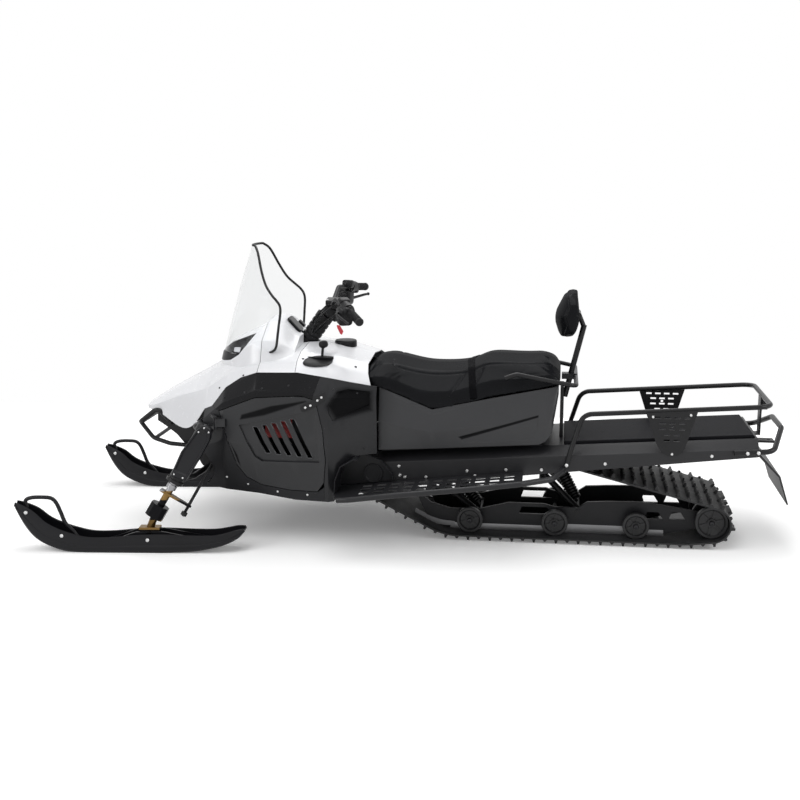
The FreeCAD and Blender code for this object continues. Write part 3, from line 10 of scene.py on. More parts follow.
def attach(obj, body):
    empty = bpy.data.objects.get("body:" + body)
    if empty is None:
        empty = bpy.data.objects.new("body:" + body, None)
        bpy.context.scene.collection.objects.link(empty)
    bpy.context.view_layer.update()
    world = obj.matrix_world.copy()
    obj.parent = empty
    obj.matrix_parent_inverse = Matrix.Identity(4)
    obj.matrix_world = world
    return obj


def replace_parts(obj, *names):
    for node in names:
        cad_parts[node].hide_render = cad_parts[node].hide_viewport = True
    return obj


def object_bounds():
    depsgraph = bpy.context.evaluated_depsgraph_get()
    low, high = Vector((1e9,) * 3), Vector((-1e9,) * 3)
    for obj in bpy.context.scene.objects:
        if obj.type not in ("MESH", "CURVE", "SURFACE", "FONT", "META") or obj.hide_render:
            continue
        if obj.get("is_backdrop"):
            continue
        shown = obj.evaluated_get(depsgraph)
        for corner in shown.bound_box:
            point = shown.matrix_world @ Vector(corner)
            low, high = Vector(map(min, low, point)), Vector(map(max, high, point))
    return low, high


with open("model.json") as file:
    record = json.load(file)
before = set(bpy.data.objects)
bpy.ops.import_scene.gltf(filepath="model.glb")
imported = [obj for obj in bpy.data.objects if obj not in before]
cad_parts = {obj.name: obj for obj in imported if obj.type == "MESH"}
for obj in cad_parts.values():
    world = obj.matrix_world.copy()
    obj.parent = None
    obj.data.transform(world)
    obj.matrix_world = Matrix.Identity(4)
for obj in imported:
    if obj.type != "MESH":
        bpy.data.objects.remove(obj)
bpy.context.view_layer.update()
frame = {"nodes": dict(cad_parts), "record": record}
nodes = frame["nodes"]
record = frame["record"]


# White cowl: the nose, the middle and the console are three injection moulded shells in white gloss.
# They meet in narrow dark seams, and small recessed screws hold them to the frame below.
# The two sides with their signs along Y, and a distance from the middle that lies outside both flanks.
SIDES = (("left", -1), ("right", 1))
OUTSIDE = 0.9
BODY_OF = {node: body for body, held in record["behaviour"]["bodies"].items() for node in held}


def feed(node, values):
    """Gives a node's inputs their values: each value is a number, a colour, or a socket to link."""
    for name, value in values.items():
        if isinstance(value, bpy.types.NodeSocket):
            node.id_data.links.new(value, node.inputs[name])
        else:
            node.inputs[name].default_value = value


def add_node(tree, kind, values=None, **settings):
    """A new node of a kind, with its settings made first and then the values of its inputs."""
    made = tree.nodes.new(kind)
    for setting, value in settings.items():
        setattr(made, setting, value)
    feed(made, values or {})
    return made


def fine_surface_group():
    """Fine grain as a height, broad mottling from 0 to 1, and sparse thin scuffs from 0 to 1."""
    group = bpy.data.node_groups.new("fine_surface", "ShaderNodeTree")
    for name, kind in (("Coordinates", "Vector"), ("Grain Scale", "Float"), ("Mottle Scale", "Float")):
        group.interface.new_socket(name, in_out="INPUT", socket_type="NodeSocket" + kind)
    for name in ("Grain", "Mottle", "Scuff"):
        group.interface.new_socket(name, in_out="OUTPUT", socket_type="NodeSocketFloat")
    given = add_node(group, "NodeGroupInput").outputs
    noise = []
    for scale, detail, distortion in ((given["Grain Scale"], 2.0, 0.0), (given["Mottle Scale"], 5.0, 0.0),
                                      (34.0, 6.0, 2.5)):
        texture = add_node(group, "ShaderNodeTexNoise", {"Vector": given["Coordinates"], "Scale": scale,
                                                         "Detail": detail, "Distortion": distortion})
        noise.append(texture.outputs["Fac"])
    thin = add_node(group, "ShaderNodeMapRange", {"Value": noise[2], "From Min": 0.62, "From Max": 0.74})
    add_node(group, "NodeGroupOutput", {"Grain": noise[0], "Mottle": noise[1],
                                        "Scuff": thin.outputs["Result"]})
    return group


FINE_SURFACE = fine_surface_group()


def finish(name, dark, light, rough, metal=0.0, coat=0.0, grain=1400.0, depth=0.0001, mottle=7.0,
           spread=0.08, shine=0.5, coat_rough=0.08):
    """A Principled finish: mottling mixes dark and light, grain is the bump, scuffs roughen the surface."""
    made = bpy.data.materials.new(name)
    made.use_nodes = True
    tree = made.node_tree
    place = add_node(tree, "ShaderNodeTexCoord")
    surface = add_node(tree, "ShaderNodeGroup", {"Coordinates": place.outputs["Object"],
                                                 "Grain Scale": grain, "Mottle Scale": mottle},
                       node_tree=FINE_SURFACE).outputs
    colour = add_node(tree, "ShaderNodeMix", {"A": (*dark, 1.0), "B": (*light, 1.0),
                                              "Factor": surface["Mottle"]}, data_type="RGBA")
    roughness = add_node(tree, "ShaderNodeMapRange", {"Value": surface["Mottle"],
                                                      "To Min": rough - spread / 2,
                                                      "To Max": rough + spread / 2})
    scuffed = add_node(tree, "ShaderNodeMath", {0: surface["Scuff"], 1: 0.12,
                                                2: roughness.outputs["Result"]}, operation="MULTIPLY_ADD")
    bump = add_node(tree, "ShaderNodeBump", {"Height": surface["Grain"], "Distance": depth})
    feed(tree.nodes["Principled BSDF"], {
        "Base Color": colour.outputs["Result"], "Roughness": scuffed.outputs["Value"], "Metallic": metal,
        "Normal": bump.outputs["Normal"], "Coat Weight": coat, "Coat Roughness": coat_rough,
        "Specular IOR Level": shine})
    return made


def paint_over(material, colour, mask):
    """Mixes a second colour over the finish where mask, a socket from 0 to 1, is 1."""
    shader = material.node_tree.nodes["Principled BSDF"]
    before = shader.inputs["Base Color"].links[0].from_socket
    over = add_node(material.node_tree, "ShaderNodeMix", {"A": before, "B": (*colour, 1.0), "Factor": mask},
                    data_type="RGBA")
    feed(shader, {"Base Color": over.outputs["Result"]})


def along(material, direction):
    """The distance along a direction from the origin, as a socket: the dot product with the place."""
    place = add_node(material.node_tree, "ShaderNodeTexCoord").outputs["Object"]
    return add_node(material.node_tree, "ShaderNodeVectorMath", {0: place, 1: direction},
                    operation="DOT_PRODUCT").outputs["Value"]


def combine(material, operation, first, second):
    """A Math node on two inputs, each a socket or a number."""
    return add_node(material.node_tree, "ShaderNodeMath", {0: first, 1: second},
                    operation=operation).outputs["Value"]


def band(material, value, low, high):
    """1 where low < value < high, else 0: the product of two comparisons."""
    above = combine(material, "GREATER_THAN", value, low)
    below = combine(material, "LESS_THAN", value, high)
    return combine(material, "MULTIPLY", above, below)


def settle(thing, material, body):
    """Links a piece, gives it its finish, and lets it ride on its body."""
    thing.data.materials.clear()
    thing.data.materials.append(material)
    bpy.context.scene.collection.objects.link(thing)
    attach(thing, body)
    return thing


def moulded(material, name, radius=0.0, angle=28.0):
    """A merged, smoothly shaded copy of a CAD node takes its place; its edges are rounded by the radius."""
    shell = bmesh.new()
    shell.from_mesh(nodes[name].data)
    bmesh.ops.remove_doubles(shell, verts=shell.verts, dist=1e-5)
    bmesh.ops.dissolve_limit(shell, angle_limit=math.radians(0.3), verts=shell.verts, edges=shell.edges)
    mesh = bpy.data.meshes.new(name + "_finished")
    shell.to_mesh(mesh)
    shell.free()
    mesh.polygons.foreach_set("use_smooth", np.ones(len(mesh.polygons), bool))
    mesh.set_sharp_from_angle(angle=math.radians(angle))
    copy = settle(bpy.data.objects.new(name + "_finished", mesh), material, BODY_OF[name])
    if radius:
        soften = copy.modifiers.new("edges", "BEVEL")
        soften.width = radius
        soften.segments = 2
        soften.limit_method = "ANGLE"
        soften.angle_limit = math.radians(angle)
        soften.harden_normals = True
    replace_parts(copy, name)
    return copy


def grid_faces(rows, columns, round_rows=False, round_columns=False):
    """Quads between neighbouring points of a grid, closed round where asked."""
    row = np.arange(rows if round_rows else rows - 1)
    column = np.arange(columns if round_columns else columns - 1)
    row, column = np.meshgrid(row, column, indexing="ij")
    next_row = (row + 1) % rows
    next_column = (column + 1) % columns
    corners = [row * columns + column, row * columns + next_column,
               next_row * columns + next_column, next_row * columns + column]
    return np.stack(corners, -1).reshape(-1, 4)


def piece(name, parts, material, body, angle=32.0):
    """A mesh piece from pairs of points and faces, each part's faces being counted on from the last.

    Its normals are turned outwards, and edges softer than the angle are shaded smooth.
    """
    points = []
    faces = []
    count = 0
    for part_points, part_faces in parts:
        part_points = np.asarray(part_points, float).reshape(-1, 3)
        faces += [[corner + count for corner in face] for face in part_faces]
        points.append(part_points)
        count += len(part_points)
    mesh = bpy.data.meshes.new(name)
    mesh.from_pydata(np.concatenate(points).tolist(), [], faces)
    shell = bmesh.new()
    shell.from_mesh(mesh)
    bmesh.ops.remove_doubles(shell, verts=shell.verts, dist=1e-6)
    bmesh.ops.recalc_face_normals(shell, faces=shell.faces)
    shell.to_mesh(mesh)
    shell.free()
    mesh.polygons.foreach_set("use_smooth", np.ones(len(mesh.polygons), bool))
    mesh.set_sharp_from_angle(angle=math.radians(angle))
    return settle(bpy.data.objects.new(name, mesh), material, body)


TREES = {}


def surface_of(mesh):
    """A mesh as a tree of faces that lines can be cast at."""
    return BVHTree.FromPolygons([vertex.co for vertex in mesh.vertices],
                                [face.vertices[:] for face in mesh.polygons])


def landing(name, start, direction):
    """Where a line from start first meets a CAD node, with the surface's outward direction there."""
    if name not in TREES:
        TREES[name] = surface_of(nodes[name].data)
    hit, normal, _, _ = TREES[name].ray_cast(Vector(start), Vector(direction).normalized())
    if hit is None:
        hit, normal, _, _ = TREES[name].find_nearest(Vector(start) + Vector(direction) * 0.45)
    if normal.dot(Vector(direction)) > 0:
        normal = -normal
    return np.array(hit), np.array(normal)


def heads(places, outwards, radius, height):
    """Pan heads with a drive recess: a profile of radius against height, turned at every place at once."""
    profile = np.array([[0.0, 0.55], [0.32, 0.55], [0.38, 1.0], [0.78, 0.92], [1.0, 0.5], [1.0, -0.4]])
    turn = np.linspace(0, 2 * np.pi, 12, endpoint=False)[None, :, None]
    out = np.asarray(outwards, float)
    out = out / np.linalg.norm(out, axis=1, keepdims=True)
    side = np.cross(out, [0.31, 0.17, 0.93])
    side /= np.linalg.norm(side, axis=1, keepdims=True)
    over = np.cross(out, side)
    ring = side[:, None, :] * np.cos(turn) + over[:, None, :] * np.sin(turn)
    raised = out[:, None, None, :] * (profile[:, 1] * height)[:, None, None]
    spread = ring[:, None, :, :] * (profile[:, 0] * radius)[:, None, None]
    points = np.asarray(places, float)[:, None, None, :] + raised + spread
    single = grid_faces(len(profile), turn.size, round_columns=True)
    offsets = np.arange(len(points)) * len(profile) * turn.size
    return points, (single[None] + offsets[:, None, None]).reshape(-1, 4)


def screws_on(name, node, starts, direction, material, radius=0.005, height=0.0025):
    """A row of screw heads where lines from the starts land on a CAD node."""
    found = [landing(node, start, direction) for start in starts]
    row = heads([hit for hit, _ in found], [normal for _, normal in found], radius, height)
    return piece(name, [row], material, BODY_OF[node])


def flank_screws(name, node, places, material, radius=0.005, height=0.0025):
    """Screws at places in X and Z on both flanks of a CAD node, as a left and a right piece."""
    for tag, side in SIDES:
        starts = [(x, side * OUTSIDE, z) for x, z in places]
        screws_on(f"{tag}_{name}", node, starts, (0, -side, 0), material, radius, height)


white_gloss = finish("white_gloss", (0.70, 0.705, 0.73), (0.75, 0.755, 0.775), 0.24, coat=0.2,
                     depth=0.00002, mottle=3.0)
for seam_x in (-0.651, -0.477):
    seam = band(white_gloss, along(white_gloss, (1, 0, 0)), seam_x - 0.0012, seam_x + 0.0012)
    paint_over(white_gloss, (0.05, 0.05, 0.055), seam)
for name in ("nose_cowl", "mid_cowl", "console"):
    moulded(white_gloss, name, 0.004)
dark_screw = finish("dark_screw", (0.012, 0.012, 0.013), (0.03, 0.03, 0.033), 0.35, metal=0.6)
bright_screw = finish("bright_screw", (0.5, 0.5, 0.5), (0.72, 0.72, 0.72), 0.28, metal=1.0, grain=900.0,
                      depth=0.00004)
for tag, side in SIDES:
    starts = [(x, side * y, 1.2) for x, y in ((-0.455, 0.30), (-0.33, 0.29), (-0.22, 0.27))]
    screws_on(tag + "_console_screws", "console", starts, (0, 0, -1), dark_screw, 0.006)
flank_screws("cowl_screws", "nose_cowl", ((-0.84, 0.70), (-0.72, 0.765)), dark_screw)

# Headlamp: a smoked lens band wraps the cowl's front corners below the screen.
# It is dark clear plastic over a black housing, with a short silver bar on each side.
lamp_lens = finish("lamp_lens", (0.003, 0.003, 0.004), (0.006, 0.006, 0.008), 0.14, depth=0.00001,
                   shine=0.05)
moulded(lamp_lens, "headlamp", 0.001)


def rounded_strip(corners, radius, steps=5):
    """A closed outline with rounded corners: an arc of the radius at each corner, tangent to both sides."""
    corners = np.asarray(corners, float)
    line = []
    for before, corner, after in zip(np.roll(corners, 1, 0), corners, np.roll(corners, -1, 0)):
        towards = (before - corner) / np.linalg.norm(before - corner)
        away = (after - corner) / np.linalg.norm(after - corner)
        half = math.acos(np.clip(np.dot(towards, away), -1, 1)) / 2
        middle = towards + away
        centre = corner + middle / np.linalg.norm(middle) * (radius / math.sin(half))
        first = corner + towards * (radius / math.tan(half)) - centre
        last = corner + away * (radius / math.tan(half)) - centre
        share = np.linspace(0, 1, steps)[:, None]
        arc = first * (1 - share) + last * share
        line.append(centre + arc / np.linalg.norm(arc, axis=1, keepdims=True) * radius)
    return np.concatenate(line)


def lift_onto(node, outline, side, gap):
    """Lays an outline in X and Z on a node's outer side: each point lands along Y, off by the gap."""
    found = [landing(node, (x, side * OUTSIDE, z), (0, -side, 0))[0] for x, z in outline]
    return np.array(found) + np.array([0, side * gap, 0])


def scaled(outline, size):
    """An outline at another size about its own middle."""
    middle = outline.mean(axis=0)
    return middle + (outline - middle) * size


def lofted(rings, close_first=True):
    """A body carried through closed rings: quads between them, and a face over the last ring.

    The first ring has a face too, unless it lies hidden on another piece.
    """
    rings = np.asarray(rings, float)
    count = rings.shape[1]
    faces = grid_faces(len(rings), count, round_columns=True).tolist()
    for end in ([0] if close_first else []) + [len(rings) - 1]:
        faces.append(list(range(end * count, (end + 1) * count)))
    return rings, faces


lamp_silver = finish("lamp_silver", (0.42, 0.43, 0.46), (0.60, 0.61, 0.64), 0.25, coat=0.6, mottle=40.0)
lamp_outline = rounded_strip([(-0.806, 0.864), (-0.764, 0.872), (-0.762, 0.852), (-0.804, 0.847)], 0.004)
for tag, side in SIDES:
    rings = [lift_onto("headlamp", scaled(lamp_outline, size), side, gap)
             for size, gap in ((1.0, 0.0002), (0.93, 0.0022), (0.45, 0.0024))]
    piece(tag + "_lamp_bar", [lofted(rings, False)], lamp_silver, "chassis", 40)

# Windshield: a 3 mm clear sheet wrapped round the dash, with a black rubber edge pressed over its rim.
# The rim runs down both sides and across the narrow top.
clear_screen = bpy.data.materials.new("clear_screen")
clear_screen.use_nodes = True
screen_tree = clear_screen.node_tree
screen_place = add_node(screen_tree, "ShaderNodeTexCoord").outputs["Object"]
screen_dust = add_node(screen_tree, "ShaderNodeTexNoise", {"Vector": screen_place, "Scale": 5.0,
                                                           "Detail": 6.0})
screen_haze = add_node(screen_tree, "ShaderNodeMapRange", {"Value": screen_dust.outputs["Fac"],
                                                           "To Min": 0.01, "To Max": 0.04})
feed(screen_tree.nodes["Principled BSDF"], {"Base Color": (0.925, 0.93, 0.932, 1.0), "IOR": 1.12,
                                            "Roughness": screen_haze.outputs["Result"],
                                            "Transmission Weight": 1.0})


def tube(path, radius, sides=12, round_path=False):
    """Points and quads of a tube: rings square to the path, on two directions square to its heading."""
    path = np.asarray(path, float)
    ahead = np.roll(path, -1, 0) - np.roll(path, 1, 0) if round_path else np.gradient(path, axis=0)
    ahead /= np.linalg.norm(ahead, axis=1, keepdims=True)
    side = np.cross(ahead, [0.23, 0.41, 0.88])
    side /= np.linalg.norm(side, axis=1, keepdims=True)
    over = np.cross(side, ahead)
    turn = np.linspace(0, 2 * np.pi, sides, endpoint=False)
    reach = np.broadcast_to(np.asarray(radius, float), (len(path),))[:, None, None]
    ring = side[:, None, :] * np.cos(turn)[None, :, None] + over[:, None, :] * np.sin(turn)[None, :, None]
    faces = grid_faces(len(path), sides, round_path, True).tolist()
    if not round_path:
        faces += [list(range(sides)), list(range((len(path) - 1) * sides, len(path) * sides))]
    return path[:, None, :] + ring * reach, faces


def smooth_line(points, count):
    """A smooth line through points: a cubic between neighbours, with slopes from the points on each side."""
    points = np.asarray(points, float)
    slopes = np.gradient(points, axis=0)
    place = np.linspace(0, len(points) - 1, count)
    index = np.minimum(place.astype(int), len(points) - 2)
    t = (place - index)[:, None]
    a, b = points[index], points[index + 1]
    sa, sb = slopes[index], slopes[index + 1]
    return (a * (2 * t ** 3 - 3 * t ** 2 + 1) + sa * (t ** 3 - 2 * t ** 2 + t)
            + b * (3 * t ** 2 - 2 * t ** 3) + sb * (t ** 3 - t ** 2))


def thick_sheet(front, back):
    """A sheet with thickness: two grids of points, front and back, with a wall of quads round their rim."""
    rows, columns = front.shape[:2]
    count = rows * columns
    index = np.arange(count).reshape(rows, columns)
    sheet = grid_faces(rows, columns)
    walls = [np.stack([edge[:-1], edge[1:], edge[1:] + count, edge[:-1] + count], 1)
             for edge in (index[0], index[-1], index[:, 0], index[:, -1])]
    return np.stack([front, back]), np.concatenate([sheet, sheet + count] + walls)


SCREEN_FRONT = ((0.838, -0.888), (0.900, -0.872), (0.980, -0.852), (1.068, -0.826), (1.190, -0.791),
                (1.334, -0.742))
SCREEN_SIDE = [(-0.672, 0.262, 0.842), (-0.628, 0.276, 0.856), (-0.594, 0.287, 0.871),
               (-0.580, 0.292, 0.892), (-0.574, 0.287, 0.940), (-0.569, 0.279, 0.990),
               (-0.564, 0.268, 1.040), (-0.568, 0.261, 1.072), (-0.584, 0.260, 1.096),
               (-0.606, 0.250, 1.118), (-0.640, 0.218, 1.158), (-0.668, 0.180, 1.217),
               (-0.693, 0.132, 1.286), (-0.706, 0.108, 1.311), (-0.722, 0.078, 1.3275)]
SCREEN_GRID = (110, 41)
side_line = smooth_line(SCREEN_SIDE, SCREEN_GRID[0])
front_x = np.interp(side_line[:, 2], [z for z, _ in SCREEN_FRONT], [x for _, x in SCREEN_FRONT])[:, None]
sweep = np.linspace(-np.pi / 2, np.pi / 2, SCREEN_GRID[1])
wrapped = np.stack([front_x + (side_line[:, :1] - front_x) * (1 - np.cos(sweep)),
                    side_line[:, 1:2] * np.sin(sweep), np.broadcast_to(side_line[:, 2:], SCREEN_GRID)], -1)
inside = wrapped * (1.0, 0.989, 1.0) + (0.0028, 0.0, 0.0)
screen = piece("screen_sheet", [thick_sheet(wrapped, inside)], clear_screen, "chassis", 60)
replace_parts(screen, "windshield")
rubber_edge = finish("rubber_edge", (0.004, 0.004, 0.004), (0.009, 0.009, 0.010), 0.5, grain=900.0,
                     depth=0.00008, shine=0.3)
top = wrapped[-1, ::4]
rim_path = np.concatenate([wrapped[:, 0], top[1:-1], wrapped[::-1, -1]]) + (0.0014, 0.0, 0.0)
piece("screen_edge", [tube(rim_path, 0.0058)], rubber_edge, "chassis", 60)

# Side bodywork: shoulder trims, knee panels, engine doors and the belly pan, all in black moulded plastic.
# The doors swing on pins at their front edge and are held shut by a rubber strap at the rear.
black_panel = finish("black_panel", (0.0065, 0.0066, 0.0078), (0.0125, 0.0128, 0.0148), 0.38, grain=1500.0,
                     depth=0.00012, spread=0.1, shine=0.24)
black_gloss = finish("black_gloss", (0.004, 0.004, 0.005), (0.008, 0.008, 0.009), 0.24, depth=0.00003,
                     shine=0.16)
moulded(black_gloss, "shoulder_trims", 0.003)


def sunk_field(material, corners, depth, soft, painted_shade=None):
    """A field sunk by the depth inside corners in X and Z, seen from the side, with walls of the soft width.

    Each side of the field gives a share from 0 to 1 of the distance inwards over the soft width, and the
    smallest share of all sides is the sunk share. It lowers the bump's height. Where a shade colour is
    given, it is painted over the field by the share as painted shade, and the coat is dulled there too.
    """
    tree = material.node_tree
    share = 1.0
    corners = np.asarray(corners, float)
    following = np.roll(corners, -1, 0)
    winding = np.sign(np.sum(corners[:, 0] * following[:, 1] - following[:, 0] * corners[:, 1]))
    for start, stop in zip(corners, following):
        inwards = np.array([start[1] - stop[1], stop[0] - start[0]]) * winding
        inwards /= np.linalg.norm(inwards)
        edge = float(np.dot(inwards, start))
        distance = along(material, (inwards[0], 0.0, inwards[1]))
        ramp = add_node(tree, "ShaderNodeMapRange", {"Value": distance, "From Min": edge,
                                                     "From Max": edge + soft},
                        interpolation_type="SMOOTHSTEP")
        share = combine(material, "MINIMUM", share, ramp.outputs["Result"])
    bump = next(node for node in tree.nodes if node.type == "BUMP")
    before = bump.inputs["Height"].links[0].from_socket
    lowered = combine(material, "MULTIPLY", share, -depth / bump.inputs["Distance"].default_value)
    feed(bump, {"Height": combine(material, "ADD", before, lowered)})
    # Painted shade: the given dark colour is mixed over the sunk field, deepest where it is most sunk.
    if painted_shade is not None:
        paint_over(material, painted_shade, combine(material, "MULTIPLY", share, 0.85))
        shader = tree.nodes["Principled BSDF"]
        gloss = shader.inputs["Coat Weight"]
        held = gloss.links[0].from_socket if gloss.links else gloss.default_value
        dull = combine(material, "SUBTRACT", 1.0, combine(material, "MULTIPLY", share, 0.92))
        feed(shader, {"Coat Weight": combine(material, "MULTIPLY", dull, held)})


PANEL_TONES = ((0.0070, 0.0072, 0.0084), (0.0130, 0.0133, 0.0152))
door_plastic = finish("door_plastic", *PANEL_TONES, 0.44, coat=0.75, grain=1500.0, depth=0.00012,
                      spread=0.1, shine=0.05, coat_rough=0.34)
# The handle recess, a curved strip along the front edge and three grooves along the top are sunk into the
# bump, and each is darkened with painted shade.
sunk_field(door_plastic, [(-0.726, 0.578), (-0.716, 0.604), (-0.578, 0.649), (-0.421, 0.676),
                          (-0.400, 0.662), (-0.421, 0.638), (-0.579, 0.604), (-0.653, 0.582),
                          (-0.700, 0.566)], 0.007, 0.010, (0.0015, 0.0015, 0.0018))
sunk_field(door_plastic, [(-0.80, 0.618), (-0.776, 0.500), (-0.742, 0.380), (-0.715, 0.330),
                          (-0.700, 0.345), (-0.722, 0.390), (-0.752, 0.505), (-0.774, 0.620)], 0.004, 0.006,
           (0.003, 0.003, 0.0035))
DOOR_GROOVES = (((-0.823, 0.617), (-0.650, 0.682)), ((-0.652, 0.682), (-0.470, 0.692)),
                ((-0.472, 0.691), (-0.408, 0.690)))
for start, stop in np.array(DOOR_GROOVES):
    across = np.array([start[1] - stop[1], stop[0] - start[0]])
    across *= 0.0035 / np.linalg.norm(across)
    sunk_field(door_plastic, [start - across, stop - across, stop + across, start + across], 0.003, 0.002,
               (0.0006, 0.0006, 0.0006))
for name in ("left_door", "right_door"):
    moulded(door_plastic, name, 0.002)
knee_plastic = finish("knee_plastic", *PANEL_TONES, 0.40, coat=0.55, grain=1500.0, depth=0.00012,
                      spread=0.1, shine=0.04, coat_rough=0.26)
# The knee recess is sunk into the bump and darkened with painted shade.
sunk_field(knee_plastic, [(-0.300, 0.570), (-0.345, 0.650), (-0.292, 0.728), (-0.240, 0.738),
                          (-0.120, 0.716), (-0.120, 0.610)], 0.010, 0.030, (0.0016, 0.0016, 0.0019))
moulded(knee_plastic, "knee_panels", 0.002)
moulded(black_panel, "belly_pan", 0.003)
moulded(black_panel, "footwells", 0.0015)
louvre_lip = finish("louvre_lip", (0.030, 0.031, 0.034), (0.055, 0.056, 0.061), 0.3, coat=0.2)
red_guard = finish("red_guard", (0.15, 0.004, 0.004), (0.27, 0.008, 0.006), 0.4, coat=0.15, mottle=20.0)
for tag, side in SIDES:
    lips = []
    for i in range(5):
        top_x, top_z = -0.662 + 0.042 * i, 0.546 + 0.010 * i
        low_x, low_z = -0.604 + 0.048 * i, 0.430 - 0.004 * i
        slot_line = rounded_strip([(top_x, top_z), (top_x + 0.020, top_z), (low_x + 0.020, low_z),
                                   (low_x, low_z)], 0.002)
        heading = np.roll(slot_line, -1, 0) - np.roll(slot_line, 1, 0)
        heading /= np.linalg.norm(heading, axis=1, keepdims=True)
        winding = np.sign(np.cross(slot_line[1] - slot_line[0], slot_line[9] - slot_line[1]))
        lip_line = slot_line - np.stack([-heading[:, 1], heading[:, 0]], 1) * 0.0022 * winding
        lips.append(tube(lift_onto(tag + "_door", lip_line, side, 0.0006), 0.0022, 8, True))
    piece(tag + "_louvre_lips", lips, louvre_lip, tag + "_door_panel", 70)
    guard_x, guard_z = np.meshgrid(np.linspace(-0.615, -0.492, 14), np.linspace(0.492, 0.582, 8),
                                   indexing="ij")
    bow = 0.372 + 0.012 * np.cos((guard_z - 0.53) * 14)
    front, back = (np.stack([guard_x, side * (bow - inwards), guard_z], -1) for inwards in (0.0, 0.003))
    piece(tag + "_clutch_guard", [thick_sheet(front, back)], red_guard, "chassis")

strap_rubber = finish("strap_rubber", (0.004, 0.004, 0.0045), (0.009, 0.009, 0.010), 0.5, grain=700.0,
                      depth=0.00015, shine=0.3)
LATCH_RIVETS = ((-0.4197, 0.6435), (-0.3971, 0.6531), (-0.3654, 0.6764), (-0.3474, 0.6903))
LATCH_STEPS = np.arange(24)
LATCH_THICK = 0.0065
centre_line = smooth_line([(-0.440, 0.632), *LATCH_RIVETS, (-0.332, 0.702)], len(LATCH_STEPS))
heading = np.gradient(centre_line, axis=0)
across = np.stack([-heading[:, 1], heading[:, 0]], 1) / np.linalg.norm(heading, axis=1, keepdims=True)
half_width = 0.0155 * np.clip(np.minimum(LATCH_STEPS + 2, 26 - LATCH_STEPS) / 4.0, 0.5, 1.0)
for tag, side in SIDES:
    below = np.array([abs(landing("knee_panels" if x > -0.375 else tag + "_door", (x, side * OUTSIDE, z),
                                  (0, -side, 0))[0][1]) for x, z in centre_line])
    below = np.maximum.accumulate(below[::-1])[::-1]
    rows = []
    for sign, rise in ((-1, 0.0), (-1, LATCH_THICK), (1, LATCH_THICK), (1, 0.0)):
        flat = centre_line + across * (sign * half_width)[:, None]
        rows.append(np.stack([flat[:, 0], side * (below + rise), flat[:, 1]], 1))
    piece(tag + "_latch_strap", [lofted(np.stack(rows, 1))], strap_rubber, "chassis", 40)
    rivet_y = np.interp([x for x, _ in LATCH_RIVETS], centre_line[:, 0], below + LATCH_THICK)
    places = [(x, side * y, z) for (x, z), y in zip(LATCH_RIVETS, rivet_y)]
    rivets = heads(places, [(0, side, 0)] * len(places), 0.0055, 0.0035)
    piece(tag + "_latch_rivets", [rivets], bright_screw, "chassis")
SHOULDER_SCREWS = ((-0.80, 0.672), (-0.70, 0.70), (-0.62, 0.72), (-0.50, 0.735))
BELLY_SCREWS = ((-0.80, 0.30), (-0.70, 0.272), (-0.56, 0.246), (-0.42, 0.240))
KNEE_SCREWS = ((-0.20, 0.70), (-0.17, 0.45), (-0.30, 0.72))
flank_screws("shoulder_screws", "shoulder_trims", SHOULDER_SCREWS, dark_screw)
flank_screws("belly_screws", "belly_pan", BELLY_SCREWS, bright_screw)
flank_screws("knee_screws", "knee_panels", KNEE_SCREWS, dark_screw)

# Tunnel and running boards: a folded sheet channel coated satin black, open below over the track.
# Bright bolts along its sides hold the skid's cross shafts, the boards and the footwells.
black_metal = finish("black_metal", (0.005, 0.005, 0.0055), (0.011, 0.011, 0.012), 0.36, grain=1100.0,
                     depth=0.00006, shine=0.26)
tunnel_coat = finish("tunnel_coat", (0.008, 0.008, 0.009), (0.015, 0.015, 0.017), 0.4, grain=1200.0,
                     depth=0.00008, shine=0.34)
moulded(tunnel_coat, "tunnel", 0.003)
moulded(tunnel_coat, "running_boards", 0.0008)
TUNNEL_BOLTS = ((-0.0233, 0.3517), (-0.0187, 0.3097), (0.0042, 0.3011), (0.1003, 0.3044), (0.2504, 0.305),
                (0.2862, 0.3389), (0.3226, 0.3169), (0.4616, 0.3496), (0.620, 0.3555), (0.90, 0.392),
                (1.36, 0.442))
flank_screws("tunnel_bolts", "tunnel", TUNNEL_BOLTS, bright_screw, 0.0075, 0.005)

# Track: one rubber belt with moulded paddles at a pitch of about 50 mm, in full and broken rows by turns.
# The belt runs round the drive sprockets, the rails, the rear idlers and the carrier rollers.
CIRCLES = [(-0.183, 0.282, 0.0675), (0.250, 0.3235, 0.300), (1.250, 0.4435, 0.420), (1.384, 0.116, 0.0795),
           (0.690, 0.322, 0.0535)]


def belt_line(samples):
    """Points and outward directions along the belt: arcs about the circles, joined by common tangents."""
    headings = []
    for (ax, az, ar), (bx, bz, br) in zip(CIRCLES, CIRCLES[1:] + CIRCLES[:1]):
        headings.append(math.atan2(bz - az, bx - ax) - math.acos((ar - br) / math.hypot(bx - ax, bz - az)))
    places = []
    outwards = []
    for i, (cx, cz, radius) in enumerate(CIRCLES):
        turn = (headings[i] - headings[i - 1]) % (2 * math.pi)
        angles = headings[i - 1] + np.linspace(0, turn, max(4, int(turn * 60)))
        out = np.stack([np.cos(angles), np.sin(angles)], 1)
        places.append(np.array([cx, cz]) + out * radius)
        outwards.append(out)
    places = np.concatenate(places + [places[0][:1]])
    outwards = np.concatenate(outwards + [outwards[0][:1]])
    distance = np.concatenate([[0], np.cumsum(np.linalg.norm(np.diff(places, axis=0), axis=1))])
    where = samples * distance[-1]
    at = np.stack([np.interp(where, distance, places[:, k]) for k in (0, 1)], 1)
    out = np.stack([np.interp(where, distance, outwards[:, k]) for k in (0, 1)], 1)
    return at, out / np.linalg.norm(out, axis=1, keepdims=True)


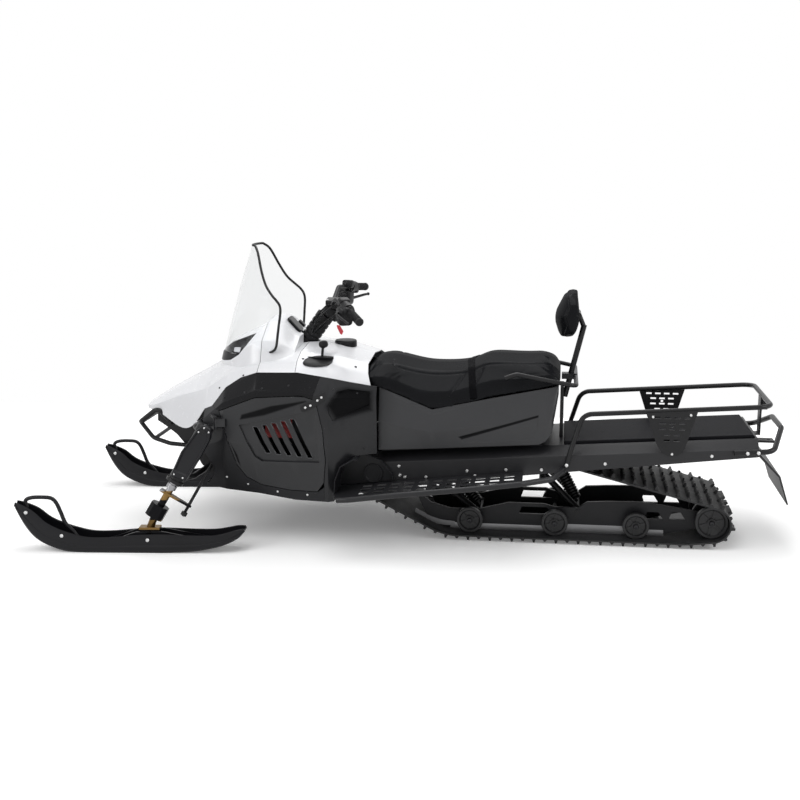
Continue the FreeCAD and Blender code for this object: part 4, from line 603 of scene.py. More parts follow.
LUGS = 73
phase = np.array([0.0, 0.26, 0.33, 0.355, 0.42, 0.58, 0.645, 0.67, 0.74])
rise = np.array([0.0, 0.0, 0.12, 0.35, 1.0, 1.0, 0.35, 0.12, 0.0])
around = ((np.arange(LUGS)[:, None] + phase[None, :]) / LUGS).ravel()
place, outward = belt_line(around)
HALF_TRACK = 0.25
PADDLE_EDGES = np.array([0.018, 0.0205, 0.0255, 0.028, 0.104, 0.1065, 0.1115, 0.114, 0.1355, 0.138, 0.143,
                         0.1455, 0.235, 0.2375, 0.2425, 0.245])
even_steps = np.linspace(-HALF_TRACK, HALF_TRACK, 41)
across = np.unique(np.round(np.concatenate([even_steps, -PADDLE_EDGES, PADDLE_EDGES]), 5))
outer_y = np.abs(across)


def plateau(value, low, high, soft):
    """1 between low and high, falling to 0 at them over the soft width."""
    return np.clip(np.minimum(value - low, high - value) / soft, 0, 1)


full_row = plateau(outer_y, 0.0255, 0.1065, 0.0025) + plateau(outer_y, 0.143, 0.2375, 0.0025)
broken_row = plateau(outer_y, -1.0, 0.0205, 0.0025) + plateau(outer_y, 0.0580, 0.1905, 0.01)
broken_row += np.clip((outer_y - 0.2375) / 0.005, 0, 1) * 0.5
arch = 0.80 + 0.20 * np.abs(np.sin(outer_y * np.pi / 0.0525))
lug_index = np.repeat(np.arange(LUGS), len(phase))[:, None]
height = np.where(lug_index % 2 == 0, full_row, broken_row) * arch
BELT_HALF = 0.0035
lift = BELT_HALF + 0.0197 * np.tile(rise, LUGS)[:, None] * np.clip(height, 0.06, 1.0)
skin = []
for offset in (lift, np.full_like(lift, -BELT_HALF)):
    x = place[:, :1] + outward[:, :1] * offset
    z = place[:, 1:] + outward[:, 1:] * offset
    skin.append(np.stack([x, np.broadcast_to(across, x.shape), np.maximum(z, 0.0)], -1))
count = lift.size
shell_faces = grid_faces(len(around), len(across), True)
edge_faces = []
for column in (0, len(across) - 1):
    ring = np.arange(len(around)) * len(across) + column
    following = np.roll(ring, -1)
    edge_faces.append(np.stack([ring, following, following + count, ring + count], 1))
track_rubber = finish("track_rubber", (0.006, 0.006, 0.0065), (0.016, 0.016, 0.017), 0.55, grain=500.0,
                      depth=0.00035, mottle=16.0, spread=0.2, shine=0.4)
belt = (skin, np.concatenate([shell_faces, shell_faces + count] + edge_faces))
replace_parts(piece("track_belt", [belt], track_rubber, "chassis", 40), "track")

# Skid: black alloy rails with bright wear strips below, coil sprung arms, and rubber tyred wheels on axles.
# Each wheel has a spoked disc and a dark hub bolt.
rail_alloy = finish("rail_alloy", (0.007, 0.007, 0.008), (0.016, 0.016, 0.018), 0.4, grain=900.0,
                    depth=0.00008, shine=0.24)
moulded(rail_alloy, "slide_rails", 0.001)
wheel_black = finish("wheel_black", (0.006, 0.006, 0.0065), (0.014, 0.014, 0.015), 0.45, grain=700.0,
                     depth=0.0002, shine=0.4)
moulded(wheel_black, "track_wheels")
moulded(wheel_black, "drive_axle", 0.001)
moulded(black_metal, "suspension_arms")
moulded(black_metal, "shocks")
bright_metal = finish("bright_metal", (0.16, 0.16, 0.165), (0.27, 0.27, 0.275), 0.42, metal=1.0,
                      grain=600.0, depth=0.0001)
strips = []
RAIL_SHOE = (((0.033, 0.093), (0.093, 0.060), (0.159, 0.044), (0.222, 0.041)),
             ((0.040, 0.116), (0.099, 0.087), (0.159, 0.068), (0.222, 0.062)))
RAIL_FACE = 0.1385
shoe_low, shoe_high = (smooth_line([(x, RAIL_FACE, z) for x, z in line], 24) for line in RAIL_SHOE)
shoe_out = np.array([0, 0.0115, 0])
shoe = np.stack([shoe_low, shoe_low + shoe_out, shoe_high + shoe_out, shoe_high], 1)
for _, side in SIDES:
    for x_low, x_high, high in ((0.20, 0.285, 0.056), (0.31, 0.672, 0.056), (0.70, 1.04, 0.068),
                                (1.062, 1.18, 0.056)):
        section = np.array([(0.0, 0.0275), (0.009, 0.0275), (0.0098, 0.032), (0.0098, high - 0.0025),
                            (0.009, high), (0.0, high)])
        body = np.zeros((4, len(section), 3))
        body[:, :, 0] = np.array([x_low, x_low + 0.003, x_high - 0.003, x_high])[:, None]
        body[:, :, 1] = side * (RAIL_FACE + section[:, 0] * np.array([0.7, 1, 1, 0.7])[:, None])
        body[:, :, 2] = section[:, 1]
        strips.append(lofted(body))
    strips.append(lofted(shoe * (1, side, 1)))
piece("rail_strips", strips, bright_metal, "chassis", 30)
# Each wheel's middle in X and Z, its disc's distance from the machine's middle, and its radius.
WHEELS = [(0.296, 0.0873, 0.195, 0.060), (0.684, 0.0873, 0.195, 0.060), (1.050, 0.0873, 0.195, 0.060),
          (1.384, 0.116, 0.195, 0.0737)]
hub_places = [(x, side * (y + 0.0205), z) for x, z, y, _ in WHEELS for _, side in SIDES]
hubs = heads(hub_places, [(0, np.sign(y), 0) for _, y, _ in hub_places], 0.0125, 0.009)
piece("wheel_bolts", [hubs], dark_screw, "chassis", 30)
spokes = []
for x, z, y, radius in WHEELS:
    for _, side in SIDES:
        for angle in np.arange(6) * np.pi / 3 + 0.3:
            out = np.array([math.cos(angle), 0, math.sin(angle)])
            flank = np.array([-math.sin(angle), 0, math.cos(angle)])
            low_y, high_y = side * (y + 0.003), side * (y + 0.0085)
            section = [(-1, low_y), (1, low_y), (1, high_y), (-1, high_y)]
            rings = [[out * reach + flank * half * sign + (x, level, z) for sign, level in section]
                     for reach, half in ((0.019, 0.0055), (radius - 0.0165, 0.0035))]
            spokes.append(lofted(rings))
piece("wheel_spokes", spokes, wheel_black, "chassis", 30)

# Seat: a two level foam pad under stitched vinyl, on a grained moulded base that straddles the tunnel.
# A top panel is sewn in along each tier, and a webbing strap crosses the seat at the step.
base_plastic = finish("base_plastic", (0.016, 0.0163, 0.018), (0.024, 0.0245, 0.027), 0.5, coat=0.85,
                      grain=1300.0, depth=0.00015, shine=0.05, coat_rough=0.38)
sunk_field(base_plastic, [(0.244, 0.500), (0.600, 0.606), (0.608, 0.560), (0.592, 0.488), (0.268, 0.466)],
           0.006, 0.012)
# A thin strip along the upper edge of the wedge recess is sunk and darkened: a painted shadow under that
# edge.
sunk_field(base_plastic, [(0.240, 0.500), (0.604, 0.608), (0.604, 0.592), (0.262, 0.484)], 0.003, 0.006,
           (0.004, 0.004, 0.0045))
sunk_field(base_plastic, [(-0.20, 0.760), (-0.036, 0.666), (0.125, 0.590), (0.300, 0.640), (0.300, 0.760)],
           0.005, 0.010)
moulded(base_plastic, "seat_base", 0.006, 20)


def vertex_rows(mesh, kind):
    """The places or the normals of all vertices of a mesh, one row each."""
    values = np.empty(len(mesh.vertices) * 3)
    mesh.vertices.foreach_get(kind, values)
    return values.reshape(-1, 3)


def move_vertices(mesh, places):
    """Puts all vertices of a mesh at new places."""
    mesh.vertices.foreach_set("co", places.ravel())
    mesh.update()


def padded_mesh(name, voxel, shrink, cap, still):
    """The foam form from a CAD solid: remeshed, drawn in, and blown up as cloth by no more than the cap."""
    shell = bmesh.new()
    shell.from_mesh(nodes[name].data)
    bmesh.ops.remove_doubles(shell, verts=shell.verts, dist=1e-5)
    mesh = bpy.data.meshes.new(name + "_start")
    shell.to_mesh(mesh)
    shell.free()
    form = bpy.data.objects.new(name + "_start", mesh)
    bpy.context.scene.collection.objects.link(form)
    remesh = form.modifiers.new("remesh", "REMESH")
    remesh.mode = "VOXEL"
    remesh.voxel_size = voxel
    even = form.modifiers.new("even", "SMOOTH")
    even.iterations = 4
    start = bpy.data.meshes.new_from_object(form.evaluated_get(bpy.context.evaluated_depsgraph_get()))
    form.modifiers.clear()
    form.data = start
    normals = vertex_rows(start, "normal")
    before = vertex_rows(start, "co") - normals * shrink
    move_vertices(start, before)
    held = form.vertex_groups.new(name="held")
    held.add(np.nonzero(still(before, normals))[0].tolist(), 1.0, "REPLACE")
    after = before
    cloth = form.modifiers.new("cushion", "CLOTH")
    cloth.settings.quality = 4
    cloth.settings.mass = 0.4
    cloth.settings.tension_stiffness = 18
    cloth.settings.compression_stiffness = 18
    cloth.settings.shear_stiffness = 8
    cloth.settings.bending_stiffness = 1.0
    cloth.settings.use_pressure = True
    cloth.settings.uniform_pressure_force = 4.0
    cloth.settings.vertex_group_mass = "held"
    cloth.settings.effector_weights.gravity = 0.0
    cloth.collision_settings.use_collision = False
    cloth.point_cache.frame_end = 20
    for step in range(1, 21):
        bpy.context.scene.frame_set(step)
    blown = form.evaluated_get(bpy.context.evaluated_depsgraph_get()).data
    after = vertex_rows(blown, "co")
    form.modifiers.clear()
    bpy.context.scene.frame_set(1)
    moved = after - before
    length = np.linalg.norm(moved, axis=1, keepdims=True)
    return form, before + moved * np.minimum(1.0, cap / np.maximum(length, 1e-9))


def crease(points, normals, path, depth, width):
    """Draws points in near a path: the depth times exp of minus the square of distance over width."""
    near = np.full(len(points), 1e9)
    for part in np.array_split(np.asarray(path, float), max(1, len(path) // 20)):
        near = np.minimum(near, np.linalg.norm(points[:, None, :] - part[None, :, :], axis=2).min(axis=1))
    return points - normals * (depth * np.exp(-(near / width) ** 2))[:, None]


def laid(lines, form, gap=0.0):
    """Lines drawn onto a form: each point moves to the nearest point of its surface, off by the gap."""
    tree = surface_of(form.data)
    result = []
    for line in lines:
        found = [tree.find_nearest(Vector(point)) for point in line]
        result.append(np.array([np.array(hit) + np.array(normal) * gap for hit, normal, _, _ in found]))
    return result


def stitches(lines, form):
    """Short thread runs along lines: small six sided bars laid at equal spacing on a form's surface."""
    spacing, length, radius = 0.0075, 0.0052, 0.0007
    bars = []
    for line in lines:
        distance = np.concatenate([[0], np.cumsum(np.linalg.norm(np.diff(line, axis=0), axis=1))])
        middle = np.arange(spacing, distance[-1] - spacing, spacing)
        ends = [np.stack([np.interp(middle + step, distance, line[:, k]) for k in range(3)], 1)
                for step in (-length / 2, 0, length / 2)]
        for run in zip(*laid(ends, form, radius * 0.5)):
            bars.append(tube(run, [radius * 0.5, radius, radius * 0.5], 6))
    return bars


seat_vinyl = finish("seat_vinyl", (0.0060, 0.0062, 0.0070), (0.0115, 0.0120, 0.0136), 0.46, coat=0.11,
                    grain=650.0, depth=0.0002, mottle=9.0, spread=0.12, shine=0.0, coat_rough=0.24)
stitch_thread = finish("stitch_thread", (0.02, 0.02, 0.022), (0.04, 0.04, 0.042), 0.7, grain=2600.0,
                       depth=0.0002, shine=0.3)


def upholster(form, points, seams, depth, width, name, node):
    """Sews a blown form: its seams are laid on it and drawn in, and the cover replaces a CAD node.

    The seams as they lie on the form come back for the stitches.
    """
    mesh = form.data
    move_vertices(mesh, points)
    normals = vertex_rows(mesh, "normal")
    seams = laid(seams, form)
    for line in seams:
        points = crease(points, normals, line, depth, width)
    move_vertices(mesh, points)
    mesh.polygons.foreach_set("use_smooth", np.ones(len(mesh.polygons), bool))
    bpy.context.scene.collection.objects.unlink(form)
    form.name = name
    finer = form.modifiers.new("finer", "SUBSURF")
    finer.levels = 1
    finer.render_levels = 1
    settle(form, seat_vinyl, "chassis")
    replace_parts(form, node)
    return seams


# Seams on the seat's left half: round the top panel, then down the side before and behind the step.
SEAT_TOP = [(-0.066, 0.110, 0.812), (-0.058, 0.172, 0.794), (-0.020, 0.188, 0.788), (0.072, 0.190, 0.772),
            (0.150, 0.192, 0.768), (0.237, 0.190, 0.773), (0.300, 0.188, 0.787), (0.360, 0.184, 0.812),
            (0.430, 0.184, 0.818), (0.560, 0.180, 0.817), (0.620, 0.176, 0.824), (0.652, 0.172, 0.828)]
STEP_SEAMS = [[(0.264, 0.188, 0.776), (0.240, 0.230, 0.745), (0.215, 0.262, 0.705), (0.192, 0.280, 0.668)],
              [(0.345, 0.188, 0.790), (0.330, 0.220, 0.766), (0.312, 0.250, 0.735), (0.300, 0.268, 0.700)]]
seat_seams = [smooth_line(points, 90) * (1, side, 1)
              for points in (SEAT_TOP, *STEP_SEAMS) for _, side in SIDES]


def seat_held(points, normals):
    """The seat's underside and its nose, where the cover is fixed to the base."""
    return (normals[:, 2] < -0.3) | (points[:, 0] < -0.160)


seat_form, seat_points = padded_mesh("seat", 0.0068, 0.0015, 0.005, seat_held)
nose_share = np.clip((-0.02 - seat_points[:, 0]) / 0.14, 0.0, 1.0) ** 1.3
nose_width = 1.0 + 0.30 * nose_share * np.clip((seat_points[:, 2] - 0.66) / 0.10, 0.0, 1.0)
seat_points[:, 0] -= 0.006 * nose_share
seat_points[:, 1] *= nose_width
seat_seams = upholster(seat_form, seat_points, seat_seams, 0.0042, 0.0065, "seat_pad", "seat")
beside = [line + (0, np.sign(line[len(line) // 2, 1]) * 0.007, -0.002) for line in seat_seams]
piece("seat_stitches", stitches(beside, seat_form), stitch_thread, "chassis", 60)

# Seat strap: dark webbing laid over the seat at the step. It runs down both sides and on under the seat.
# Each end has a moulded plastic loop, which lies between the seat and its base, out of sight.
webbing = finish("webbing", (0.003, 0.003, 0.0035), (0.007, 0.007, 0.008), 0.8, grain=1800.0, depth=0.0005,
                 shine=0.03)
seat_tree = surface_of(seat_form.data)
strap_rows = []
for angle in np.linspace(-2.02, 2.02, 70):
    inward = np.array([0, -math.sin(angle), -math.cos(angle)])
    found = []
    for edge in (-0.016, 0.016):
        start = (0.282 + 0.0108 * angle ** 2 + edge, 0.0, 0.70) - inward * 0.5
        hit, normal, _, _ = seat_tree.ray_cast(Vector(start), Vector(inward))
        if hit is not None and hit.z >= 0.640:
            found.append((np.array(hit), np.array(normal)))
    if len(found) == 2:
        (near, near_out), (far, far_out) = found
        strap_rows.append([near - near_out * 0.001, near + near_out * 0.002, far + far_out * 0.002,
                           far - far_out * 0.001])
strap_rows = np.array(strap_rows)
piece("seat_strap", [lofted(strap_rows)], webbing, "chassis", 50)
black_plastic = finish("black_plastic", (0.005, 0.005, 0.0055), (0.012, 0.012, 0.013), 0.4, grain=1100.0,
                       depth=0.0001, shine=0.18)
buckles = []
loop_outline = rounded_strip([(-0.021, 0.006), (0.021, 0.006), (0.021, -0.020), (-0.021, -0.020)], 0.006)
for end in (strap_rows[0], strap_rows[-1]):
    centre = end[1:3].mean(axis=0)
    outwards = np.full(len(loop_outline), np.sign(centre[1]) * 0.0035)
    loop_path = centre + np.stack([loop_outline[:, 0], outwards, loop_outline[:, 1]], 1)
    buckles.append(tube(loop_path, 0.0035, 8, True))
piece("strap_loops", buckles, black_plastic, "chassis", 60)

# Backrest: a stuffed vinyl pad on a raked post, which bolts to the deck behind the seat.
# The pad has a sewn side panel with a seam round its front face.
def pad_held(points, _):
    """The middle of the pad's back, where it is fixed to the post."""
    return (points[:, 0] > 0.762) & (np.abs(points[:, 1]) < 0.08)


pad_form, pad_points = padded_mesh("backrest_pad", 0.0045, 0.002, 0.012, pad_held)
PAD_RING = [(0.706, -0.100, 0.945), (0.716, 0.0, 0.938), (0.706, 0.100, 0.945), (0.712, 0.146, 0.990),
            (0.710, 0.150, 1.030), (0.722, 0.140, 1.075), (0.712, 0.095, 1.110), (0.712, 0.0, 1.128),
            (0.712, -0.095, 1.110), (0.722, -0.140, 1.075), (0.710, -0.150, 1.030), (0.712, -0.146, 0.990),
            (0.706, -0.100, 0.945)]
pad_seams = upholster(pad_form, pad_points, [smooth_line(PAD_RING, 160)], 0.004, 0.005, "backrest_cushion",
                      "backrest_pad")
beside = [line + (0.004, 0, 0) for line in pad_seams]
piece("backrest_stitches", stitches(beside, pad_form), stitch_thread, "chassis", 60)
moulded(black_metal, "backrest_post", 0.0015)
moulded(black_metal, "grab_rail")

# Rear end: a grained deck cover, a bent tube rack with perforated side plates, the bumper, hitch and flap.
# The lamp is a red lens in a black housing under the rack's rear bar.
deck_plastic = finish("deck_plastic", (0.006, 0.006, 0.007), (0.012, 0.012, 0.014), 0.6, grain=900.0,
                      depth=0.0002, shine=0.04)
moulded(deck_plastic, "cargo_deck", 0.003)
moulded(black_metal, "rack")
moulded(black_metal, "rack_plates", 0.001)
moulded(black_metal, "rear_bumper")
moulded(black_metal, "hitch", 0.001)
flap_rubber = finish("flap_rubber", (0.006, 0.006, 0.0065), (0.013, 0.013, 0.014), 0.5, grain=700.0,
                     depth=0.0003, shine=0.4)
moulded(flap_rubber, "snow_flap", 0.0015)
red_lens = finish("red_lens", (0.30, 0.008, 0.006), (0.42, 0.014, 0.010), 0.16, coat=0.8, grain=300.0,
                  depth=0.0003)
moulded(black_plastic, "tail_lamp", 0.002)
lens_up, lens_across = np.meshgrid(np.linspace(0.617, 0.647, 9), np.linspace(-0.051, 0.051, 21),
                                   indexing="ij")
lens_reach = np.clip(1 - ((lens_up - 0.632) / 0.0152) ** 4, 0, 1)
lens_reach *= np.clip(1 - (lens_across / 0.0512) ** 6, 0, 1)
lens_face = np.stack([1.6222 + 0.0035 * np.sqrt(lens_reach), lens_across, lens_up], -1)
lens_back = np.stack([np.full_like(lens_up, 1.6215), lens_across, lens_up], -1)
piece("tail_lens", [thick_sheet(lens_face, lens_back)], red_lens, "chassis")
for name, node, places, radius, height in (
        ("plate_bolts", "rack_plates", ((1.188, 0.447), (1.10, 0.612), (1.262, 0.624)), 0.006, 0.004),
        ("bumper_bolts", "rear_bumper", ((1.508, 0.4645), (1.554, 0.468)), 0.008, 0.005),
        ("rack_bolt", "rack", ((0.730, 0.385),), 0.008, 0.005)):
    flank_screws(name, node, places, bright_screw, radius, height)

# Front end: struts with black covers, yellow zinc plated legs, a moulded ski on each, and a tube bumper.
# The legs turn in the struts; the tie rods join their arms to the steering inside.
moulded(black_metal, "struts", 0.0015)
moulded(black_metal, "front_frame")
moulded(black_metal, "front_bumper")
zinc_gold = finish("zinc_gold", (0.12, 0.070, 0.022), (0.27, 0.17, 0.065), 0.34, metal=1.0, grain=500.0,
                   depth=0.0001, mottle=26.0, spread=0.2)
ski_plastic = finish("ski_plastic", (0.005, 0.005, 0.006), (0.010, 0.010, 0.012), 0.32, grain=900.0,
                     depth=0.0001, shine=0.22)
leg_height = along(zinc_gold, (0, 0, 1))
for colour, low, high in (((0.010, 0.010, 0.011), 0.146, 0.236), ((0.010, 0.010, 0.011), 0.0, 0.098),
                          ((0.30, 0.30, 0.31), 0.276, 0.5)):
    paint_over(zinc_gold, colour, band(zinc_gold, leg_height, low, high))
# Stations along each ski, in its own frame: its sole, the top of its side walls, half its width and
# its ribs' rise as a share of the wall.
SKI_SOLE = [(-0.601, 0.205), (-0.580, 0.160), (-0.543, 0.103), (-0.501, 0.060), (-0.443, 0.029),
            (-0.369, 0.006), (-0.272, 0.0), (-0.168, 0.0), (-0.060, 0.0), (0.060, 0.0), (0.201, 0.008),
            (0.300, 0.026), (0.352, 0.042), (0.400, 0.066), (0.430, 0.096)]
SKI_WALL = [(-0.598, 0.219), (-0.562, 0.208), (-0.508, 0.180), (-0.458, 0.137), (-0.400, 0.108),
            (-0.336, 0.086), (-0.262, 0.071), (-0.166, 0.072), (-0.060, 0.082), (0.060, 0.086),
            (0.196, 0.082), (0.290, 0.083), (0.345, 0.093), (0.388, 0.104), (0.424, 0.107)]
SKI_HALF = [0.026, 0.033, 0.044, 0.051, 0.057, 0.059, 0.059, 0.059, 0.059, 0.059, 0.059, 0.059, 0.055,
            0.045, 0.036]
SKI_RIBS = [0.26, 0.27, 0.28, 0.28, 0.28, 0.30, 0.42, 0.72, 1.10, 1.08, 0.80, 0.45, 0.32, 0.30, 0.28]
# From the sole's middle out, up the side wall and in to the rib: the furthest reach from the middle, the
# distance in from the edge, and the rise as a share of the wall, where none means the rib's own.
SKI_RING = [(1.0, 0.006, 0.0), (1.0, 0.0, 0.10), (1.0, 0.0, 0.36), (1.0, 0.004, 0.42), (1.0, 0.004, 0.92),
            (1.0, 0.007, 1.0), (1.0, 0.011, 0.96), (1.0, 0.013, 0.32), (1.0, 0.017, 0.26),
            (0.034, 0.019, 0.26), (0.032, 0.020, None), (0.024, 0.022, None), (0.022, 0.0225, 0.26)]
SKI_STEPS = 90
sole = smooth_line([(x, 0.0, z) for x, z in SKI_SOLE], SKI_STEPS)
wall = smooth_line([(x, 0.0, z) for x, z in SKI_WALL], SKI_STEPS)
station = np.linspace(0, len(SKI_HALF) - 1, SKI_STEPS)
half_ski, rib_rise = (np.interp(station, np.arange(len(values)), values) for values in (SKI_HALF, SKI_RIBS))
flat_line = np.zeros(SKI_STEPS)
half_y = [np.minimum(furthest, half_ski - inset) for furthest, inset, _ in SKI_RING]
half_rise = [rib_rise if rise is None else flat_line + rise for _, _, rise in SKI_RING]
ring_y = np.stack([flat_line] + half_y + [flat_line] + [-y for y in half_y[::-1]], 1)
ring_rise = np.stack([flat_line] + half_rise + [flat_line + 0.26] + half_rise[::-1], 1)
ski_points = sole[:, None, :] + (wall - sole)[:, None, :] * ring_rise[:, :, None]
ski_points[:, :, 1] = ring_y
ski_points[:, :, 2] = np.maximum(ski_points[:, :, 2], 0.0)
SKI_LOOP = [(-0.552, 0.190), (-0.556, 0.222), (-0.530, 0.236), (-0.480, 0.2385), (-0.440, 0.234),
            (-0.418, 0.212), (-0.400, 0.168), (-0.382, 0.120), (-0.350, 0.082), (-0.310, 0.030)]
loop_path = smooth_line([(x, 0.0, z) for x, z in SKI_LOOP], 60)
SKI_BOLTS = [(x, side * y, z) for x, y, z in ((-0.002, 0.0555, 0.060), (-0.386, 0.052, 0.076),
                                              (-0.545, 0.039, 0.178))
             for _, side in SIDES]
bolt_points, bolt_faces = heads(SKI_BOLTS, [(0, np.sign(y), 0) for _, y, _ in SKI_BOLTS], 0.0085, 0.005)
STRUT_COVER = [(-1.002, 0.350), (-0.934, 0.326), (-0.866, 0.436), (-0.826, 0.512), (-0.822, 0.556),
               (-0.852, 0.573), (-0.882, 0.556), (-0.956, 0.455)]
cover_outline = rounded_strip(STRUT_COVER, 0.010)
COVER_RIVETS = ((-0.877, 0.543), (-0.852, 0.561), (-0.831, 0.543), (-0.985, 0.357), (-0.945, 0.342))


def strut_place(x, z, side, gap):
    """Places beside the leaning strut, which comes in by 0.1796 for each unit of height."""
    return np.stack([x, side * (0.560 - 0.1796 * (z - 0.201) + gap), z], -1)


parked = math.radians(6)
ski_turn = np.array([[math.cos(parked), math.sin(parked), 0], [-math.sin(parked), math.cos(parked), 0],
                     [0, 0, 1]])
for tag, side in SIDES:
    moulded(zinc_gold, tag + "_ski_leg", 0.001)
    moulded(black_metal, tag + "_tie_rod")
    ski_at = np.array([-1.110, side * 0.553, 0.0])
    shell = [(points @ ski_turn + ski_at, faces)
             for points, faces in (lofted(ski_points), tube(loop_path, 0.0088, 16))]
    shell = piece(tag + "_ski_shell", shell, ski_plastic, tag + "_spindle", 34)
    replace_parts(shell, tag + "_ski")
    bolts = (bolt_points @ ski_turn + ski_at, bolt_faces)
    piece(tag + "_ski_bolts", [bolts], bright_screw, tag + "_spindle")
    rings = []
    for size, gap in ((0.98, 0.006), (1.0, 0.010), (1.0, 0.036), (0.97, 0.040), (0.84, 0.040),
                      (0.80, 0.034), (0.30, 0.034)):
        rings.append(strut_place(*scaled(cover_outline, size).T, side, gap))
    piece(tag + "_strut_cover", [lofted(rings)], black_panel, "chassis", 30)
    rivet_places = strut_place(*np.array(COVER_RIVETS).T, side, 0.040)
    rivets = heads(rivet_places, [(0, side, 0)] * len(COVER_RIVETS), 0.004, 0.0025)
    piece(tag + "_cover_rivets", [rivets], bright_screw, "chassis")

# Steering: a rubber boot over the column, a bent bar in a clamp block, soft grips, control pods and levers.
# A red blade stands at each control, and the cables run from the boot up into the pods.
soft_rubber = finish("soft_rubber", (0.004, 0.004, 0.0045), (0.009, 0.009, 0.010), 0.55, grain=900.0,
                     depth=0.0003, shine=0.3)
moulded(soft_rubber, "steering_boot", 0.001)
moulded(soft_rubber, "grips", 0.001)
moulded(black_metal, "steering_column", 0.001)
moulded(black_metal, "handlebar")
moulded(black_plastic, "bar_controls", 0.0015)


def rounded_block(centre, half, heading, power=0.45, rows=18, columns=28):
    """A block with soft corners: a sphere's sines and cosines raised to a power below 1, then turned."""
    up = np.linspace(-np.pi / 2, np.pi / 2, rows)[:, None]
    around = np.linspace(0, 2 * np.pi, columns, endpoint=False)[None, :]

    def eased(value):
        return np.sign(value) * np.abs(value) ** power

    points = np.stack([eased(np.cos(up)) * eased(np.cos(around)), eased(np.cos(up)) * eased(np.sin(around)),
                       np.broadcast_to(eased(np.sin(up)), (rows, columns))], -1) * half
    ahead = np.asarray(heading, float) / np.linalg.norm(heading)
    over = np.array([0.0, 0.0, 1.0]) - ahead * ahead[2]
    over /= np.linalg.norm(over)
    turn = np.stack([np.cross(ahead, over), ahead, over])
    return points @ turn + np.asarray(centre), grid_faces(rows, columns, False, True)


BAR_LINE = {-1: ((-0.186, -0.373, 1.021), (-0.265, -0.241, 1.063)),
            1: ((-0.286, 0.407, 1.093), (-0.328, 0.253, 1.109))}
for tag, side in SIDES:
    bar_end, bar_inner = np.array(BAR_LINE[side])
    pod_at = bar_inner + ((0.0, 0.0, 0.0) if side < 0 else (-0.018, 0.0, -0.016))
    outwards = (bar_end - bar_inner) / np.linalg.norm(bar_end - bar_inner)
    housing = [rounded_block(pod_at + (-0.010, 0.0, -0.034), (0.034, 0.036, 0.040), outwards),
               rounded_block(bar_inner + outwards * 0.038 + (-0.004, 0.0, -0.006), (0.024, 0.016, 0.026),
                             outwards),
               rounded_block(bar_inner - outwards * 0.040 + (0.002, 0.0, 0.012), (0.026, 0.022, 0.020),
                             outwards)]
    piece(tag + "_switch_pod", housing, black_plastic, "handlebar_set", 50)
    rings = [tube([bar_end - outwards * back, bar_end - outwards * (back - 0.003)], 0.0186, 24)
             for back in np.linspace(0.012, 0.112, 11)]
    rings.append(tube([bar_end - outwards * 0.122, bar_end - outwards * 0.116], 0.024, 28))
    rings.append(tube([bar_end + outwards * 0.004, bar_end + outwards * 0.0095], [0.0192, 0.0170], 24))
    piece(tag + "_grip_rings", rings, soft_rubber, "handlebar_set", 40)

red_blade = finish("red_blade", (0.42, 0.008, 0.02), (0.56, 0.012, 0.03), 0.3, coat=0.3, mottle=20.0)
BLADES = {"left": (-0.262, -0.266, [(-0.307, 0.990), (-0.292, 0.989), (-0.276, 0.962), (-0.283, 0.946),
                                    (-0.291, 0.951), (-0.303, 0.976)]),
          "right": (0.238, 0.242, [(-0.381, 1.110), (-0.361, 1.107), (-0.388, 1.071), (-0.410, 1.030),
                                   (-0.421, 1.030), (-0.399, 1.071)])}
for tag, (inner_y, outer_y, corners) in BLADES.items():
    outline = rounded_strip(corners, 0.0022, 4)
    walls = [np.stack([outline[:, 0], np.full(len(outline), y), outline[:, 1]], 1)
             for y in (inner_y, outer_y)]
    piece(tag + "_red_blade", [lofted(walls)], red_blade, "handlebar_set", 30)

instruments = []
for x, y, half in ((-0.553, -0.012, (0.048, 0.044, 0.0075)), (-0.546, 0.100, (0.017, 0.020, 0.007))):
    above, below = (landing("mid_cowl", (x + step, y, 1.3), (0, 0, -1))[0] for step in (-0.012, 0.012))
    instruments.append(rounded_block((above + below) / 2 + (0.003, 0.0, 0.0035), half, below - above, 0.4))
instruments = piece("instruments", instruments, black_gloss, "chassis", 50)
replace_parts(instruments, "dash_gauge")

clamp_block = [rounded_block((-0.374, 0.0, 1.012), (0.050, 0.024, 0.040), (0.58, 0.0, 0.81), 0.25),
               rounded_block((-0.370, 0.0, 1.062), (0.058, 0.030, 0.014), (1.0, 0.0, 0.0), 0.3)]
piece("clamp_cover", clamp_block, black_plastic, "handlebar_set", 45)
clamp_places = [(-0.391 + 0.040 * i, y, 1.0755) for i in (0, 1) for y in (-0.036, 0.036)]
clamp_bolts = heads(clamp_places, [(0, 0, 1)] * len(clamp_places), 0.0055, 0.004)
piece("clamp_bolts", [clamp_bolts], bright_screw, "handlebar_set")
CABLES = [((-0.468, -0.038, 0.916), (-0.434, -0.060, 0.985), (-0.350, -0.095, 1.060)),
          ((-0.462, -0.038, 0.916), (-0.412, -0.060, 0.966), (-0.338, -0.060, 1.020)),
          ((-0.474, 0.036, 0.918), (-0.442, 0.058, 0.990), (-0.372, 0.100, 1.070)),
          ((-0.480, 0.0, 0.935), (-0.452, -0.036, 0.992), (-0.398, -0.040, 1.046)),
          ((-0.452, -0.030, 0.916), (-0.398, -0.056, 0.962), (-0.318, -0.120, 1.040))]
bundle = [tube(smooth_line(route, 22), 0.0042, 8) for route in CABLES]
piece("cable_bundle", bundle, rubber_edge, "handlebar_set", 60)
brake_lever = smooth_line([(-0.356, 0.258, 1.060), (-0.340, 0.280, 1.048), (-0.318, 0.322, 1.050),
                           (-0.286, 0.372, 1.056), (-0.268, 0.398, 1.058)], 26)
lever_end = rounded_block(brake_lever[-1], (0.008, 0.008, 0.008), (1, 0.5, 0), 1.0)
